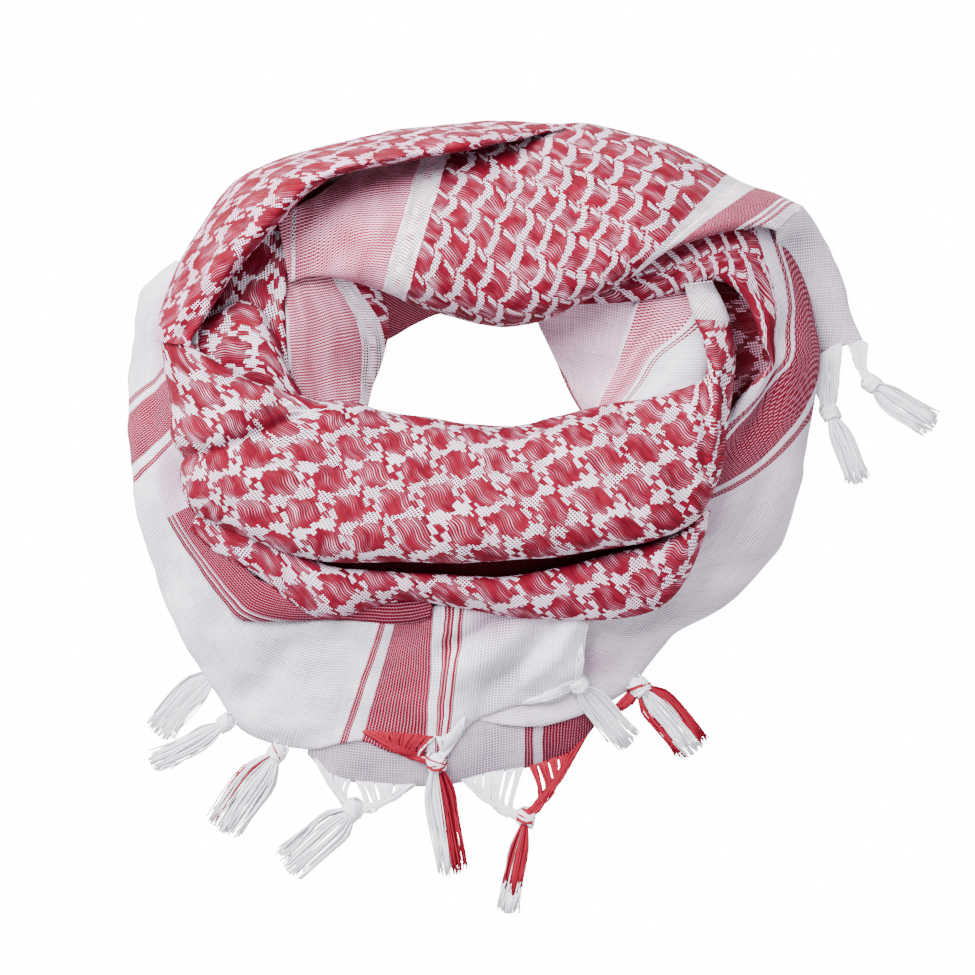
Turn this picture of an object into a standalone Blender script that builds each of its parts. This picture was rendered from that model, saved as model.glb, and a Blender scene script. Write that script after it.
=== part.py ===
"""A square keffiyeh headscarf, wound into a loop and laid on a flat surface.

The loop lies on z = 0 with its front towards -Y.  Each stretch of cloth that shows is a thin wall, lofted
through cross-sections: a section runs from edge A to edge B and arches between them.  A stretch that lies
over others is lifted clear of them.  The layers that don't show share one rounded ring.
Sizes are in millimetres and are turned into metres once, by MM.
"""

import math
from collections import namedtuple

import bmesh
import bpy
from mathutils import Vector
from mathutils.bvhtree import BVHTree

MM = 0.001
WALL = 1.4  # thickness of one gauze cloth as it lies, slightly puffed
GAP = 1.3  # least height between one stretch and the one under it
REACH = 4.5  # how far to the side the one under is felt for
FLOOR_GAP = 0.4  # the least that anything but the ring keeps from the surface
KNOT_R = 4.6  # radius of a tassel's knot
SKIRT_H = 3.0  # half height of a tassel's threads where they lie spread
FAN_H = 0.9  # half height of the threads between the hem and a knot
LIFT_STEP = 0.7  # how far a touching point is raised at a time
MOST_STEPS = 120

WHITE = (0.90, 0.89, 0.91)
RED = (0.62, 0.05, 0.09)
PINK = (0.78, 0.42, 0.50)

# One cross-section: edge A, edge B (x, y, z each) and how far the cloth arches above the line between them.
Section = namedtuple("Section", "ax ay az bx by bz crown")
# One tassel: its knot, its end and how wide that spreads, and, where the threads from the hem to the knot show,
# the two ends of the hem that they leave.
Tassel = namedtuple("Tassel", "name kx ky kz ex ey ez end_width colour hem")
# One row of the hidden ring: a point of its inner edge, one of its outer edge, and its height.
RingRow = namedtuple("RingRow", "ix iy ox oy height")

RING_ROWS = [
    RingRow(-96, 76, -176, 76, 40),
    RingRow(-90, 102, -160, 136, 40),
    RingRow(-68, 116, -118, 168, 38),
    RingRow(-35, 119, -50, 180, 40),
    RingRow(0, 118, 20, 180, 42),
    RingRow(24, 114, 72, 165, 38),
    RingRow(36, 100, 112, 128, 26),
    RingRow(40, 82, 124, 82, 20),
    RingRow(38, 62, 118, 34, 24),
    RingRow(28, 42, 96, -12, 30),
    RingRow(8, 33, 55, -45, 34),
    RingRow(-25, 32, 0, -62, 36),
    RingRow(-60, 35, -60, -70, 36),
    RingRow(-86, 42, -115, -62, 36),
    RingRow(-96, 54, -158, -25, 38),
    RingRow(-99, 65, -175, 22, 40),
]

BACK_INNER_WALL = [
    Section(-84, 84, 8, -94, 112, 34, 4),
    Section(-72, 90, 7, -82, 119, 38, 4),
    Section(-60, 97, 7, -66, 122, 42, 4),
    Section(-49, 102, 8, -50, 124, 44, 4),
    Section(-38, 103, 10, -38, 122, 44, 4),
]

RIGHT_INNER_WHITE = [
    Section(2, 101, 12, 50, 113, 40, 4),
    Section(4, 95, 8, 49, 101, 36, 5),
    Section(9, 83, 6, 46, 88, 32, 6),
    Section(14, 71, 6, 43, 75, 30, 6),
    Section(19, 61, 7, 39, 63, 32, 5),
    Section(25, 51, 10, 36, 53, 36, 3),
]

INNER_STRIPE_FOLD = [
    Section(-122, 121, 50, -92, 118, 46, 4),
    Section(-122, 112, 52, -82, 111, 34, 6),
    Section(-121, 100, 52, -75, 101, 18, 8),
    Section(-121, 88, 50, -73, 90, 10, 9),
    Section(-120, 76, 47, -77, 78, 9, 9),
    Section(-118, 66, 45, -80, 66, 12, 8),
    Section(-116, 55, 44, -84, 52, 22, 5),
]

LEFT_INNER_FOLD = [
    Section(-138, 151, 46, -118, 152, 46, 2),
    Section(-150, 135, 46, -120, 139, 48, 3),
    Section(-158, 121, 46, -123, 124, 50, 3),
    Section(-165, 108, 46, -124, 110, 51, 3),
    Section(-169, 96, 46, -124, 96, 51, 3),
    Section(-170, 86, 46, -123, 82, 49, 3),
    Section(-160, 76, 45, -121, 70, 47, 3),
]

LEFT_PUFF = [
    Section(-168, 91, 54, -170, 80, 52, 2),
    Section(-159, 102, 55, -157, 72, 50, 8),
    Section(-147, 108, 55, -143, 66, 48, 12),
    Section(-136, 103, 55, -131, 62, 47, 13),
    Section(-128, 88, 54, -121, 58, 46, 10),
    Section(-122, 72, 50, -112, 56, 45, 5),
]

POCKET_LINING = [
    Section(76, 124, 34, 112, 118, 34, -3),
    Section(80, 108, 26, 114, 106, 34, -5),
    Section(84, 92, 22, 117, 92, 32, -5),
    Section(88, 76, 24, 117, 78, 30, -4),
    Section(88, 62, 28, 112, 64, 30, -2),
]

RIGHT_INNER_STRIPE = [
    Section(52, 111, 40, 80, 114, 42, 4),
    Section(47, 100, 36, 82, 103, 40, 8),
    Section(44, 88, 32, 86, 90, 40, 10),
    Section(41, 76, 32, 87, 77, 42, 11),
    Section(36, 64, 34, 82, 66, 44, 8),
    Section(32, 54, 38, 70, 56, 46, 4),
]

TUCKED_END = [
    Section(82, 70, 50, 96, 52, 48, 8),
    Section(85, 82, 48, 99, 66, 44, 10),
    Section(83, 94, 44, 100, 82, 40, 11),
    Section(80, 105, 40, 99, 96, 38, 9),
    Section(80, 114, 36, 97, 109, 35, 6),
]

RIGHT_TAIL = [
    Section(130, 160, 20, 112, 147, 46, 3),
    Section(140, 149, 14, 119, 137, 40, 4),
    Section(150, 132, 9, 126, 124, 30, 5),
    Section(156, 115, 6, 131, 109, 22, 5),
    Section(160, 99, 4, 135, 94, 14, 4),
    Section(164, 89, 3, 139, 80, 8, 2),
]

UNDER_FLAP = [
    Section(-112, -106, 12, -112, -123, 3, 1),
    Section(-96, -103, 13, -99, -132, 3, 2),
    Section(-76, -103, 13, -78, -137, 3, 4),
    Section(-55, -103, 13, -56, -139, 3, 3),
    Section(-38, -100, 13, -38, -136, 3, 4),
    Section(-20, -96, 13, -22, -131, 3, 3),
    Section(-4, -92, 13, -5, -127, 3, 4),
    Section(11, -88, 13, 8, -123, 3, 3),
    Section(24, -84, 12, 20, -117, 3, 3),
    Section(34, -82, 10, 31, -105, 3, 2),
]

RIGHT_DRAPE = [
    Section(26, 126, 46, 22, 107, 40, 4),
    Section(46, 134, 48, 45, 108, 44, 6),
    Section(68, 144, 46, 65, 111, 47, 9),
    Section(92, 151, 40, 82, 116, 48, 12),
    Section(113, 149, 26, 93, 118, 48, 13),
    Section(128, 137, 18, 102, 112, 47, 14),
    Section(137, 120, 13, 109, 102, 45, 13),
    Section(141, 98, 9, 112, 90, 42, 13),
    Section(142, 74, 7, 113, 77, 38, 13),
    Section(141, 54, 6, 107, 65, 36, 12),
    Section(138, 36, 6, 95, 55, 36, 11),
    Section(135, 18, 6, 88, 38, 36, 10),
    Section(130, -1, 6, 82, 16, 36, 9),
    Section(120, -19, 6, 72, -1, 36, 8),
    Section(104, -36, 6, 60, -14, 36, 8),
    Section(86, -49, 6, 48, -24, 36, 7),
    Section(71, -60, 6, 38, -32, 34, 6),
    Section(58, -76, 5, 28, -40, 30, 5),
    Section(46, -90, 5, 18, -50, 26, 4),
    Section(26, -98, 5, 5, -58, 24, 3),
    Section(0, -104, 6, -10, -66, 22, 2),
    Section(-26, -109, 7, -25, -74, 20, 2),
]

RED_TUCK = [
    Section(-146, -22, 30, -146, -44, 20, 1),
    Section(-130, -28, 32, -131, -58, 17, 2),
    Section(-108, -36, 34, -110, -64, 16, 3),
    Section(-86, -36, 34, -88, -64, 16, 4),
    Section(-64, -34, 34, -66, -62, 16, 3),
    Section(-44, -34, 34, -46, -60, 16, 2),
]

OUTER_DRAPE = [
    Section(-179, 131, 12, -160, 118, 36, 3),
    Section(-195, 113, 8, -166, 103, 38, 5),
    Section(-201, 90, 7, -166, 85, 40, 7),
    Section(-204, 60, 7, -164, 60, 40, 9),
    Section(-203, 30, 7, -160, 35, 40, 9),
    Section(-199, 2, 7, -152, 10, 40, 9),
    Section(-191, -26, 7, -142, -14, 38, 9),
    Section(-182, -50, 6, -138, -34, 32, 9),
    Section(-171, -76, 5, -138, -47, 27, 9),
    Section(-157, -98, 4, -128, -52, 25, 8),
    Section(-141, -112, 3.5, -113, -53, 25, 7),
    Section(-118, -117, 3.5, -97, -53, 26, 6),
    Section(-92, -116, 7, -82, -51, 27, 5),
    Section(-66, -118, 8, -64, -46, 30, 5),
    Section(-49, -120, 9, -45, -42, 32, 6),
    Section(-30, -108, 11, -20, -42, 34, 8),
    Section(-10, -98, 13, 0, -44, 34, 7),
    Section(10, -92, 14, 15, -46, 34, 8),
    Section(23, -87, 15, 27, -50, 33, 4),
]

LOWER_ROLL = [
    Section(-163, 8, 48, -172, -8, 40, 4),
    Section(-150, 1, 48, -158, -19, 38, 6),
    Section(-135, -7, 48, -138, -32, 36, 8),
    Section(-118, -12, 48, -117, -46, 34, 9),
    Section(-98, -15, 48, -98, -52, 34, 10),
    Section(-75, -16, 48, -76, -48, 36, 10),
    Section(-50, -17, 48, -50, -46, 37, 10),
    Section(-20, -17, 48, -20, -48, 38, 10),
    Section(10, -15, 48, 10, -51, 38, 10),
    Section(36, -12, 48, 38, -50, 38, 9),
    Section(55, -8, 48, 62, -43, 38, 9),
    Section(67, -2, 48, 78, -27, 39, 8),
    Section(73, 6, 48, 86, -6, 41, 6),
    Section(77, 14, 48, 88, 8, 43, 4),
]

BACK_BAND = [
    Section(-122, 118, 54, -128, 150, 50, 4),
    Section(-108, 122, 55, -114, 158, 40, 8),
    Section(-92, 119, 56, -98, 166, 24, 20),
    Section(-75, 112, 50, -78, 173, 12, 32),
    Section(-58, 105, 44, -56, 180, 6, 40),
    Section(-38, 99, 38, -32, 188, 5, 46),
    Section(-18, 95, 34, -6, 195, 5, 47),
    Section(3, 98, 34, 18, 198, 5, 48),
    Section(20, 107, 38, 42, 195, 5, 47),
    Section(40, 115, 46, 64, 189, 5, 43),
    Section(60, 126, 54, 84, 180, 6, 35),
    Section(80, 136, 56, 99, 170, 9, 28),
    Section(98, 143, 52, 114, 166, 14, 21),
    Section(114, 146, 48, 127, 162, 20, 12),
    Section(127, 145, 45, 134, 157, 24, 5),
]

FRONT_BAND = [
    Section(-167, 84, 60, -187, 96, 40, 8),
    Section(-153, 74, 58, -184, 72, 42, 14),
    Section(-133, 66, 54, -178, 42, 44, 18),
    Section(-112, 60, 48, -172, 10, 46, 20),
    Section(-92, 57, 42, -148, -6, 50, 22),
    Section(-72, 53, 36, -112, -19, 54, 24),
    Section(-50, 49, 32, -80, -22, 56, 26),
    Section(-30, 47, 30, -46, -23, 57, 27),
    Section(-8, 46, 30, -14, -22, 57, 27),
    Section(15, 53, 32, 12, -19, 56, 26),
    Section(36, 58, 36, 36, -16, 55, 24),
    Section(56, 63, 42, 60, -13, 53, 20),
    Section(74, 68, 50, 79, -3, 51, 14),
    Section(83, 66, 54, 91, 14, 48, 11),
    Section(86, 62, 56, 95, 32, 48, 8),
]

LEFT_ROLL = [
    Section(20, 188, 56, 24, 195, 40, 3),
    Section(-14, 182, 60, -12, 199, 14, 14),
    Section(-44, 178, 64, -42, 198, 6, 26),
    Section(-72, 173, 66, -70, 194, 5, 31),
    Section(-95, 167, 67, -100, 188, 5, 33),
    Section(-113, 158, 67, -128, 181, 5, 34),
    Section(-127, 145, 67, -151, 169, 5, 35),
    Section(-139, 132, 67, -166, 150, 7, 34),
    Section(-150, 119, 68, -176, 132, 16, 29),
    Section(-159, 107, 68, -184, 115, 28, 20),
    Section(-165, 97, 67, -187, 103, 40, 12),
]

# A stretch's name and table, how many sections its wall has and how many points each, and how flat its arch
# is: 2 is a round arch and more is a flatter one.  They are laid in this order, the lowest first.
Stretch = namedtuple("Stretch", "name rows points square colour")
STRETCHES = [
    Stretch("back_inner_wall", BACK_INNER_WALL, (7, 5), 2.0, RED),
    Stretch("right_inner_white", RIGHT_INNER_WHITE, (9, 6), 2.0, WHITE),
    Stretch("inner_stripe_fold", INNER_STRIPE_FOLD, (11, 7), 2.0, PINK),
    Stretch("left_inner_fold", LEFT_INNER_FOLD, (10, 5), 2.0, RED),
    Stretch("left_puff", LEFT_PUFF, (10, 7), 2.0, RED),
    Stretch("pocket_lining", POCKET_LINING, (8, 5), 2.0, RED),
    Stretch("right_inner_stripe", RIGHT_INNER_STRIPE, (10, 7), 2.0, PINK),
    Stretch("tucked_end", TUCKED_END, (8, 7), 2.0, RED),
    Stretch("right_tail", RIGHT_TAIL, (10, 6), 2.0, WHITE),
    Stretch("under_flap", UNDER_FLAP, (18, 5), 2.0, WHITE),
    Stretch("right_drape", RIGHT_DRAPE, (34, 8), 2.3, WHITE),
    Stretch("red_tuck", RED_TUCK, (10, 5), 2.0, PINK),
    Stretch("outer_drape", OUTER_DRAPE, (34, 8), 2.3, WHITE),
    Stretch("lower_roll", LOWER_ROLL, (24, 7), 2.0, RED),
    Stretch("back_band", BACK_BAND, (26, 9), 2.4, PINK),
    Stretch("front_band", FRONT_BAND, (26, 9), 2.2, RED),
    Stretch("left_roll", LEFT_ROLL, (22, 8), 2.0, RED),
]

TASSELS = [
    Tassel("tassel_left_1", -172, -86, 4.6, -190, -107, 3.0, 14, WHITE, None),
    Tassel("tassel_left_2", -160, -107, 5.0, -192, -122, 3.0, 11, WHITE, None),
    Tassel("tassel_left_3", -133, -123, 5.0, -158, -158, 3.0, 22, WHITE, None),
    Tassel("tassel_front_4", -91, -150, 5.0, -122, -176, 3.0, 20, WHITE, (-108, -136, -52, -141)),
    Tassel("tassel_front_5", -48, -126, 13.0, -40, -180, 3.0, 17, RED, None),
    Tassel("tassel_front_6", -4, -153, 5.0, -14, -198, 3.0, 11, RED, (-36, -138, 24, -119)),
    Tassel("tassel_front_7", 27, -91, 16.0, 48, -116, 5.0, 17, WHITE, None),
    Tassel("tassel_right_8", 54, -88, 5.0, 80, -122, 3.0, 20, RED, None),
    Tassel("tassel_tail_9", 170, 67, 5.0, 200, 47, 3.0, 16, WHITE, (160, 87, 168, 90)),
    Tassel("tassel_tail_10", 149, 53, 5.0, 165, 20, 3.0, 15, WHITE, (140, 76, 150, 80)),
]


def clear_scene():
    """Removes whatever the file opened with."""
    for obj in list(bpy.data.objects):
        bpy.data.objects.remove(obj)


def cloth_material(name, colour):
    """Matt cotton of one colour."""
    material = bpy.data.materials.get(name) or bpy.data.materials.new(name)
    material.use_nodes = True
    shader = material.node_tree.nodes["Principled BSDF"]
    shader.inputs["Base Color"].default_value = (*colour, 1.0)
    shader.inputs["Roughness"].default_value = 0.9
    shader.inputs["Metallic"].default_value = 0.0
    return material


def between(rows, position, closed=False):
    """A row read from a smooth curve through the table's rows, at a position counted in rows."""
    count = len(rows)
    first = math.floor(position)
    if not closed:
        first = min(max(first, 0), count - 2)
    share = position - first

    def row(index):
        return rows[index % count] if closed else rows[min(max(index, 0), count - 1)]

    before, start, end, after = (row(first + step) for step in (-1, 0, 1, 2))
    values = []
    for p, a, b, q in zip(before, start, end, after):
        slope_a, slope_b = (b - p) / 2, (q - a) / 2
        cubic = 2 * a - 2 * b + slope_a + slope_b
        square = 3 * b - 3 * a - 2 * slope_a - slope_b
        values.append(((cubic * share + square) * share + slope_a) * share + a)
    return type(start)(*values)


def power(value, exponent):
    """value to a power, keeping its sign."""
    return math.copysign(abs(value) ** exponent, value)


def section_point(row, angle, square):
    """The point of a section at an angle: 180 degrees is edge A, 90 the top of the arch and 0 edge B."""
    share = (1 + power(math.cos(math.radians(angle)), 2 / square)) / 2
    rise = power(math.sin(math.radians(angle)), 2 / square)
    edge_a = Vector((row.ax, row.ay, row.az))
    edge_b = Vector((row.bx, row.by, row.bz))
    return edge_a.lerp(edge_b, share) + Vector((0, 0, row.crown * rise))


def section_rows(stretch):
    """The stretch's outer face as rows of points, one row a section."""
    along, across = stretch.points
    rows = []
    for i in range(along):
        row = between(stretch.rows, i * (len(stretch.rows) - 1) / (along - 1))
        angles = [180 - 180 * j / (across - 1) for j in range(across)]
        rows.append([section_point(row, angle, stretch.square) for angle in angles])
    return rows


def grid_faces(count, width, first=0, closed=False):
    """Quads over rows of points; a closed grid joins each row's last point to its first."""
    faces = []
    for i in range(count - 1):
        for j in range(width if closed else width - 1):
            a = first + i * width + j
            b = first + i * width + (j + 1) % width
            faces.append((a, b, b + width, a + width))
    return faces


def upward(rows):
    """1 where rows x columns gives a normal that points up, over the whole grid, and -1 where it gives one down."""
    total = 0.0
    for near, far in zip(rows, rows[1:]):
        for j in range(len(near) - 1):
            total += (far[j] - near[j]).cross(near[j + 1] - near[j]).z
    return 1 if total > 0 else -1


def wall_solid(rows, thickness=WALL):
    """The points and faces of a wall whose outer face passes through rows of points."""
    count, width = len(rows), len(rows[0])
    side = upward(rows)
    outer = [point for row in rows for point in row]
    inner = []
    for i in range(count):
        for j in range(width):
            along = rows[min(i + 1, count - 1)][j] - rows[max(i - 1, 0)][j]
            across = rows[i][min(j + 1, width - 1)] - rows[i][max(j - 1, 0)]
            inner.append(rows[i][j] - side * thickness * along.cross(across).normalized())
    size = count * width
    under = grid_faces(count, width)
    over = [tuple(reversed(face)) for face in grid_faces(count, width, size)]
    edge = [j for j in range(width)]
    edge += [i * width + width - 1 for i in range(1, count)]
    edge += [size - 1 - j for j in range(1, width)]
    edge += [i * width for i in range(count - 2, 0, -1)]
    rim = [(b, a, a + size, b + size) for a, b in zip(edge, edge[1:] + edge[:1])]
    faces = under + over + rim
    return outer + inner, [tuple(reversed(face)) for face in faces] if side > 0 else faces


def tube_solid(rows):
    """The points and faces of a solid through rings of points, with both ends closed."""
    width = len(rows[0])
    points = [point for row in rows for point in row]
    faces = grid_faces(len(rows), width, closed=True)
    faces.append(tuple(reversed(range(width))))
    faces.append(tuple(range(len(points) - width, len(points))))
    return points, faces


def height_under(point, laid):
    """The highest face of what is laid, within REACH of a point."""
    highest = 0.0
    spots = [(0, 0)]
    spots += [(REACH * math.cos(k * math.pi / 4), REACH * math.sin(k * math.pi / 4)) for k in range(8)]
    for dx, dy in spots:
        start = Vector((point.x + dx, point.y + dy, 500))
        for tree in laid:
            hit = tree.ray_cast(start, Vector((0, 0, -1)))[0]
            if hit is not None:
                highest = max(highest, hit.z)
    return highest


def raised(rows, lifts):
    """The rows with each point lifted, and its neighbours eased up with it."""
    result = []
    for i, row in enumerate(rows):
        new_row = []
        for j, point in enumerate(row):
            near = [lifts[a][j] for a in (i - 1, i + 1) if 0 <= a < len(rows)]
            near += [lifts[i][b] for b in (j - 1, j + 1) if 0 <= b < len(row)]
            rise = max(lifts[i][j], 0.5 * max(near))
            new_row.append(point + Vector((0, 0, rise)))
        result.append(new_row)
    return result


def lay(rows, solid_of, thickness, laid, whole_rows):
    """Raises rows of points until the solid through them is clear of what is laid."""
    width = len(rows[0])
    lifts = []
    for row in rows:
        line = []
        for point in row:
            lowest = height_under(point, laid)
            lowest = lowest + GAP + thickness if lowest > 0 else FLOOR_GAP + thickness
            line.append(max(0.0, lowest - point.z))
        lifts.append([max(line)] * width if whole_rows else line)
    for _ in range(MOST_STEPS):
        placed = raised(rows, lifts)
        points, faces = solid_of(placed)
        tree = BVHTree.FromPolygons(points, faces)
        hits = {face for other in laid for face, _ in tree.overlap(other)}
        if not hits:
            break
        for index in {point % (len(rows) * width) for face in hits for point in faces[face]}:
            i, j = divmod(index, width)
            for k in range(width) if whole_rows else (j,):
                lifts[i][k] += LIFT_STEP
    return placed


def add_solid(name, points, faces, colour):
    """Makes a solid, its points in millimetres, and gives its faces as a tree."""
    mesh = bpy.data.meshes.new(name)
    mesh.from_pydata([point * MM for point in points], [], faces)
    mesh.materials.append(cloth_material("cloth_" + name, colour))
    shape = bmesh.new()
    shape.from_mesh(mesh)
    if shape.calc_volume(signed=True) < 0:
        bmesh.ops.reverse_faces(shape, faces=shape.faces)
    shape.to_mesh(mesh)
    shape.free()
    mesh.shade_smooth()
    obj = bpy.data.objects.new(name, mesh)
    bpy.context.scene.collection.objects.link(obj)
    return BVHTree.FromPolygons(points, faces)


def ring_tree(steps=36, arch=7):
    """The ring of hidden layers, rounded above and flat below."""
    rows = []
    for i in range(steps + 1):
        row = between(RING_ROWS, i % steps * len(RING_ROWS) / steps, closed=True)
        points = []
        for j in range(arch + 1):
            angle = math.pi * j / arch
            share = (1 - power(math.cos(angle), 0.8)) / 2
            across = Vector((row.ix, row.iy, 0)).lerp(Vector((row.ox, row.oy, 0)), share)
            points.append(across + Vector((0, 0, row.height * power(math.sin(angle), 0.8))))
        rows.append(points)
    width = arch + 1
    points = [point for row in rows[:-1] for point in row]
    faces = grid_faces(len(rows), width, closed=True)
    faces = [tuple(point % len(points) for point in face) for face in faces]
    return add_solid("hidden_layers", points, faces, WHITE)


def stretch_tree(stretch, laid):
    """One stretch as a wall of cloth, laid over what is there."""
    rows = lay(section_rows(stretch), lambda r: wall_solid(r, WALL + GAP), WALL, laid, False)
    return add_solid(stretch.name, *wall_solid(rows), stretch.colour)


def flat_ring(centre, heading, half_width, half_height, sides=8):
    """An oval ring of points across a heading, its width level."""
    across = Vector((-heading.y, heading.x, 0)).normalized()
    ring = []
    for k in range(sides):
        angle = 2 * math.pi * (k + 0.5) / sides
        up = Vector((0, 0, half_height * math.sin(angle)))
        ring.append(centre + across * half_width * math.cos(angle) + up)
    return ring


def tassel_tree(tassel, laid):
    """A tassel as one solid: the fan of threads from the hem, the knot, and the spread threads."""
    knot = Vector((tassel.kx, tassel.ky, tassel.kz))
    end = Vector((tassel.ex, tassel.ey, tassel.ez))
    heading = (end - knot).normalized()
    rings = []
    if tassel.hem:
        ends = [Vector((tassel.hem[k], tassel.hem[k + 1], FAN_H + FLOOR_GAP)) for k in (0, 2)]
        middle = (ends[0] + ends[1]) / 2
        along_hem = Vector((ends[1].y - ends[0].y, ends[0].x - ends[1].x, 0))
        if along_hem.dot(knot - middle) < 0:
            along_hem.negate()
        half_hem = (ends[1] - ends[0]).length / 2
        for share, width in ((0.0, 1.0), (0.35, 0.62), (0.65, 0.3)):
            turned = along_hem.normalized().lerp(heading, share)
            rings.append(flat_ring(middle.lerp(knot, share), turned, width * half_hem, FAN_H * (1 + share)))
    for along, radius in ((-1.0, 0.5), (-0.55, 0.9), (0.1, 1.0), (0.75, 0.82), (1.25, 0.5)):
        centre = knot + heading * along * KNOT_R
        rings.append(flat_ring(centre, heading, radius * KNOT_R, radius * KNOT_R))
    for share, width in ((0.3, 0.55), (0.62, 0.86), (1.0, 1.0)):
        half_height = SKIRT_H * (1 - 0.25 * share)
        rings.append(flat_ring(knot.lerp(end, share), heading, width * tassel.end_width / 2, half_height))
    rings = lay(rings, tube_solid, 0.0, laid, True)
    return add_solid(tassel.name, *tube_solid(rings), tassel.colour)


def main():
    """Lays the ring, then each stretch over it, then the tassels."""
    clear_scene()
    laid = [ring_tree()]
    for stretch in STRETCHES:
        laid.append(stretch_tree(stretch, laid))
    for tassel in TASSELS:
        laid.append(tassel_tree(tassel, laid))


main()
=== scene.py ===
"""The looks of a keffiyeh headscarf: a square of cotton gauze wound into a loop and laid on a pale floor.

Lengths in the tables are in millimetres, in the row frame: +Z up, -Y the front of the loop, +X to the right.
"""

import logging
import math
from collections.abc import Callable, Sequence
from dataclasses import dataclass, field
from enum import Enum

import bmesh
import bpy
import numpy as np
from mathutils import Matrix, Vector, noise
from mathutils.bvhtree import BVHTree


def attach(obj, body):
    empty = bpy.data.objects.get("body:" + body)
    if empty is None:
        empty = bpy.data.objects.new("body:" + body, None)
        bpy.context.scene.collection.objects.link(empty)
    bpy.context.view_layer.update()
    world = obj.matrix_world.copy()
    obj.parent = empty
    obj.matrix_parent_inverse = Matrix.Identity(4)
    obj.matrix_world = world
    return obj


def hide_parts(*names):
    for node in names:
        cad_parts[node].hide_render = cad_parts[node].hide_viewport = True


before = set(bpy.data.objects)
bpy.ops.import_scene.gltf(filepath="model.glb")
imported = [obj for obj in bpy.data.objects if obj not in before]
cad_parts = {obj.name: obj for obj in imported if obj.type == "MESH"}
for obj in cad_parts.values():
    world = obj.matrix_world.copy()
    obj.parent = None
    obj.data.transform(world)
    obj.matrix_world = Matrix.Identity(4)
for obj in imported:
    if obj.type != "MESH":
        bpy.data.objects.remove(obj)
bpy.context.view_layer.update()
LOG = logging.getLogger("keffiyeh")

MM = 0.001
THREAD = 1.1  # from one float to the next
MESH = 1.42  # from one thread of the plain weave to the next
FIGURE = 22.6  # repeat of the broken-check figure along its threads
FIGURE_THREADS = 16  # threads in one row of those figures
SHELL = 12.8  # repeat of the shells along their threads
SHELL_THREADS = 13  # threads in one row of shells
FLECK = 1.5  # from one fleck, dot or dash to the next, across a stripe
CLOTH_THICK = 0.5
CLEAR = 0.7  # least height between one stretch and the one under it
SKY = 400.0  # height from which rays look down, over everything
DOWN = Vector((0, 0, -1))


class Slot(str, Enum):
    """The record's material slots."""

    FIGURED = "figured_cloth"
    STRIPED = "striped_cloth"
    WHITE = "white_cloth"
    TASSEL_WHITE = "tassel_white"
    TASSEL_RED = "tassel_red"


class Kind(Enum):
    """How a zone of the cloth is woven."""

    PLAIN = "plain"
    FIGURE = "figure"
    SHELL = "shell"
    FINE = "fine"
    BAND = "band"
    NARROW = "narrow"
    DASH = "dash"


# ---------------------------------------------------------------------------------------------- shader maths


class Num:
    """A float socket, or a number, that can be reckoned with."""

    def __init__(self, graph: "Graph", value: object) -> None:
        """Wraps a socket or a number.

        Args:
            graph: The node graph that the maths is added to.
            value: A node's output socket or a number.
        """
        self.graph = graph
        self.value = value

    def op(self, name: str, *others: object) -> "Num":
        """One Math node.

        Args:
            name: The node's operation.
            others: The other operands.

        Returns:
            The node's result.
        """
        return self.graph.math(name, self, *others)

    def __add__(self, other: object) -> "Num":
        return self.op("ADD", other)

    def __sub__(self, other: object) -> "Num":
        return self.op("SUBTRACT", other)

    def __mul__(self, other: object) -> "Num":
        return self.op("MULTIPLY", other)

    def __truediv__(self, other: object) -> "Num":
        return self.op("DIVIDE", other)

    def __radd__(self, other: float) -> "Num":
        return self + other

    def __rsub__(self, other: float) -> "Num":
        return self.graph.math("SUBTRACT", other, self)

    def __lt__(self, other: object) -> "Num":
        return self.op("LESS_THAN", other)

    def __gt__(self, other: object) -> "Num":
        return self.op("GREATER_THAN", other)

    def __mod__(self, other: object) -> "Num":
        return self.op("FLOORED_MODULO", other)

    def floor(self) -> "Num":
        """The whole number at or below it."""
        return self.op("FLOOR")

    def fract(self) -> "Num":
        """What is left over the whole number."""
        return self.op("FRACT")

    def both(self, other: object) -> "Num":
        """The lesser of the two."""
        return self.op("MINIMUM", other)

    def either(self, other: object) -> "Num":
        """The greater of the two."""
        return self.op("MAXIMUM", other)

    def peak(self, period: float) -> "Num":
        """A zigzag, 0 at the middle of each period and 1 at its ends."""
        return ((self / period).fract() - 0.5).op("ABSOLUTE") * 2

    def step(self, low: object, high: object) -> "Num":
        """A smooth step from 0 at low to 1 at high."""
        return self.graph.smooth_step(self, low, high)


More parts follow.
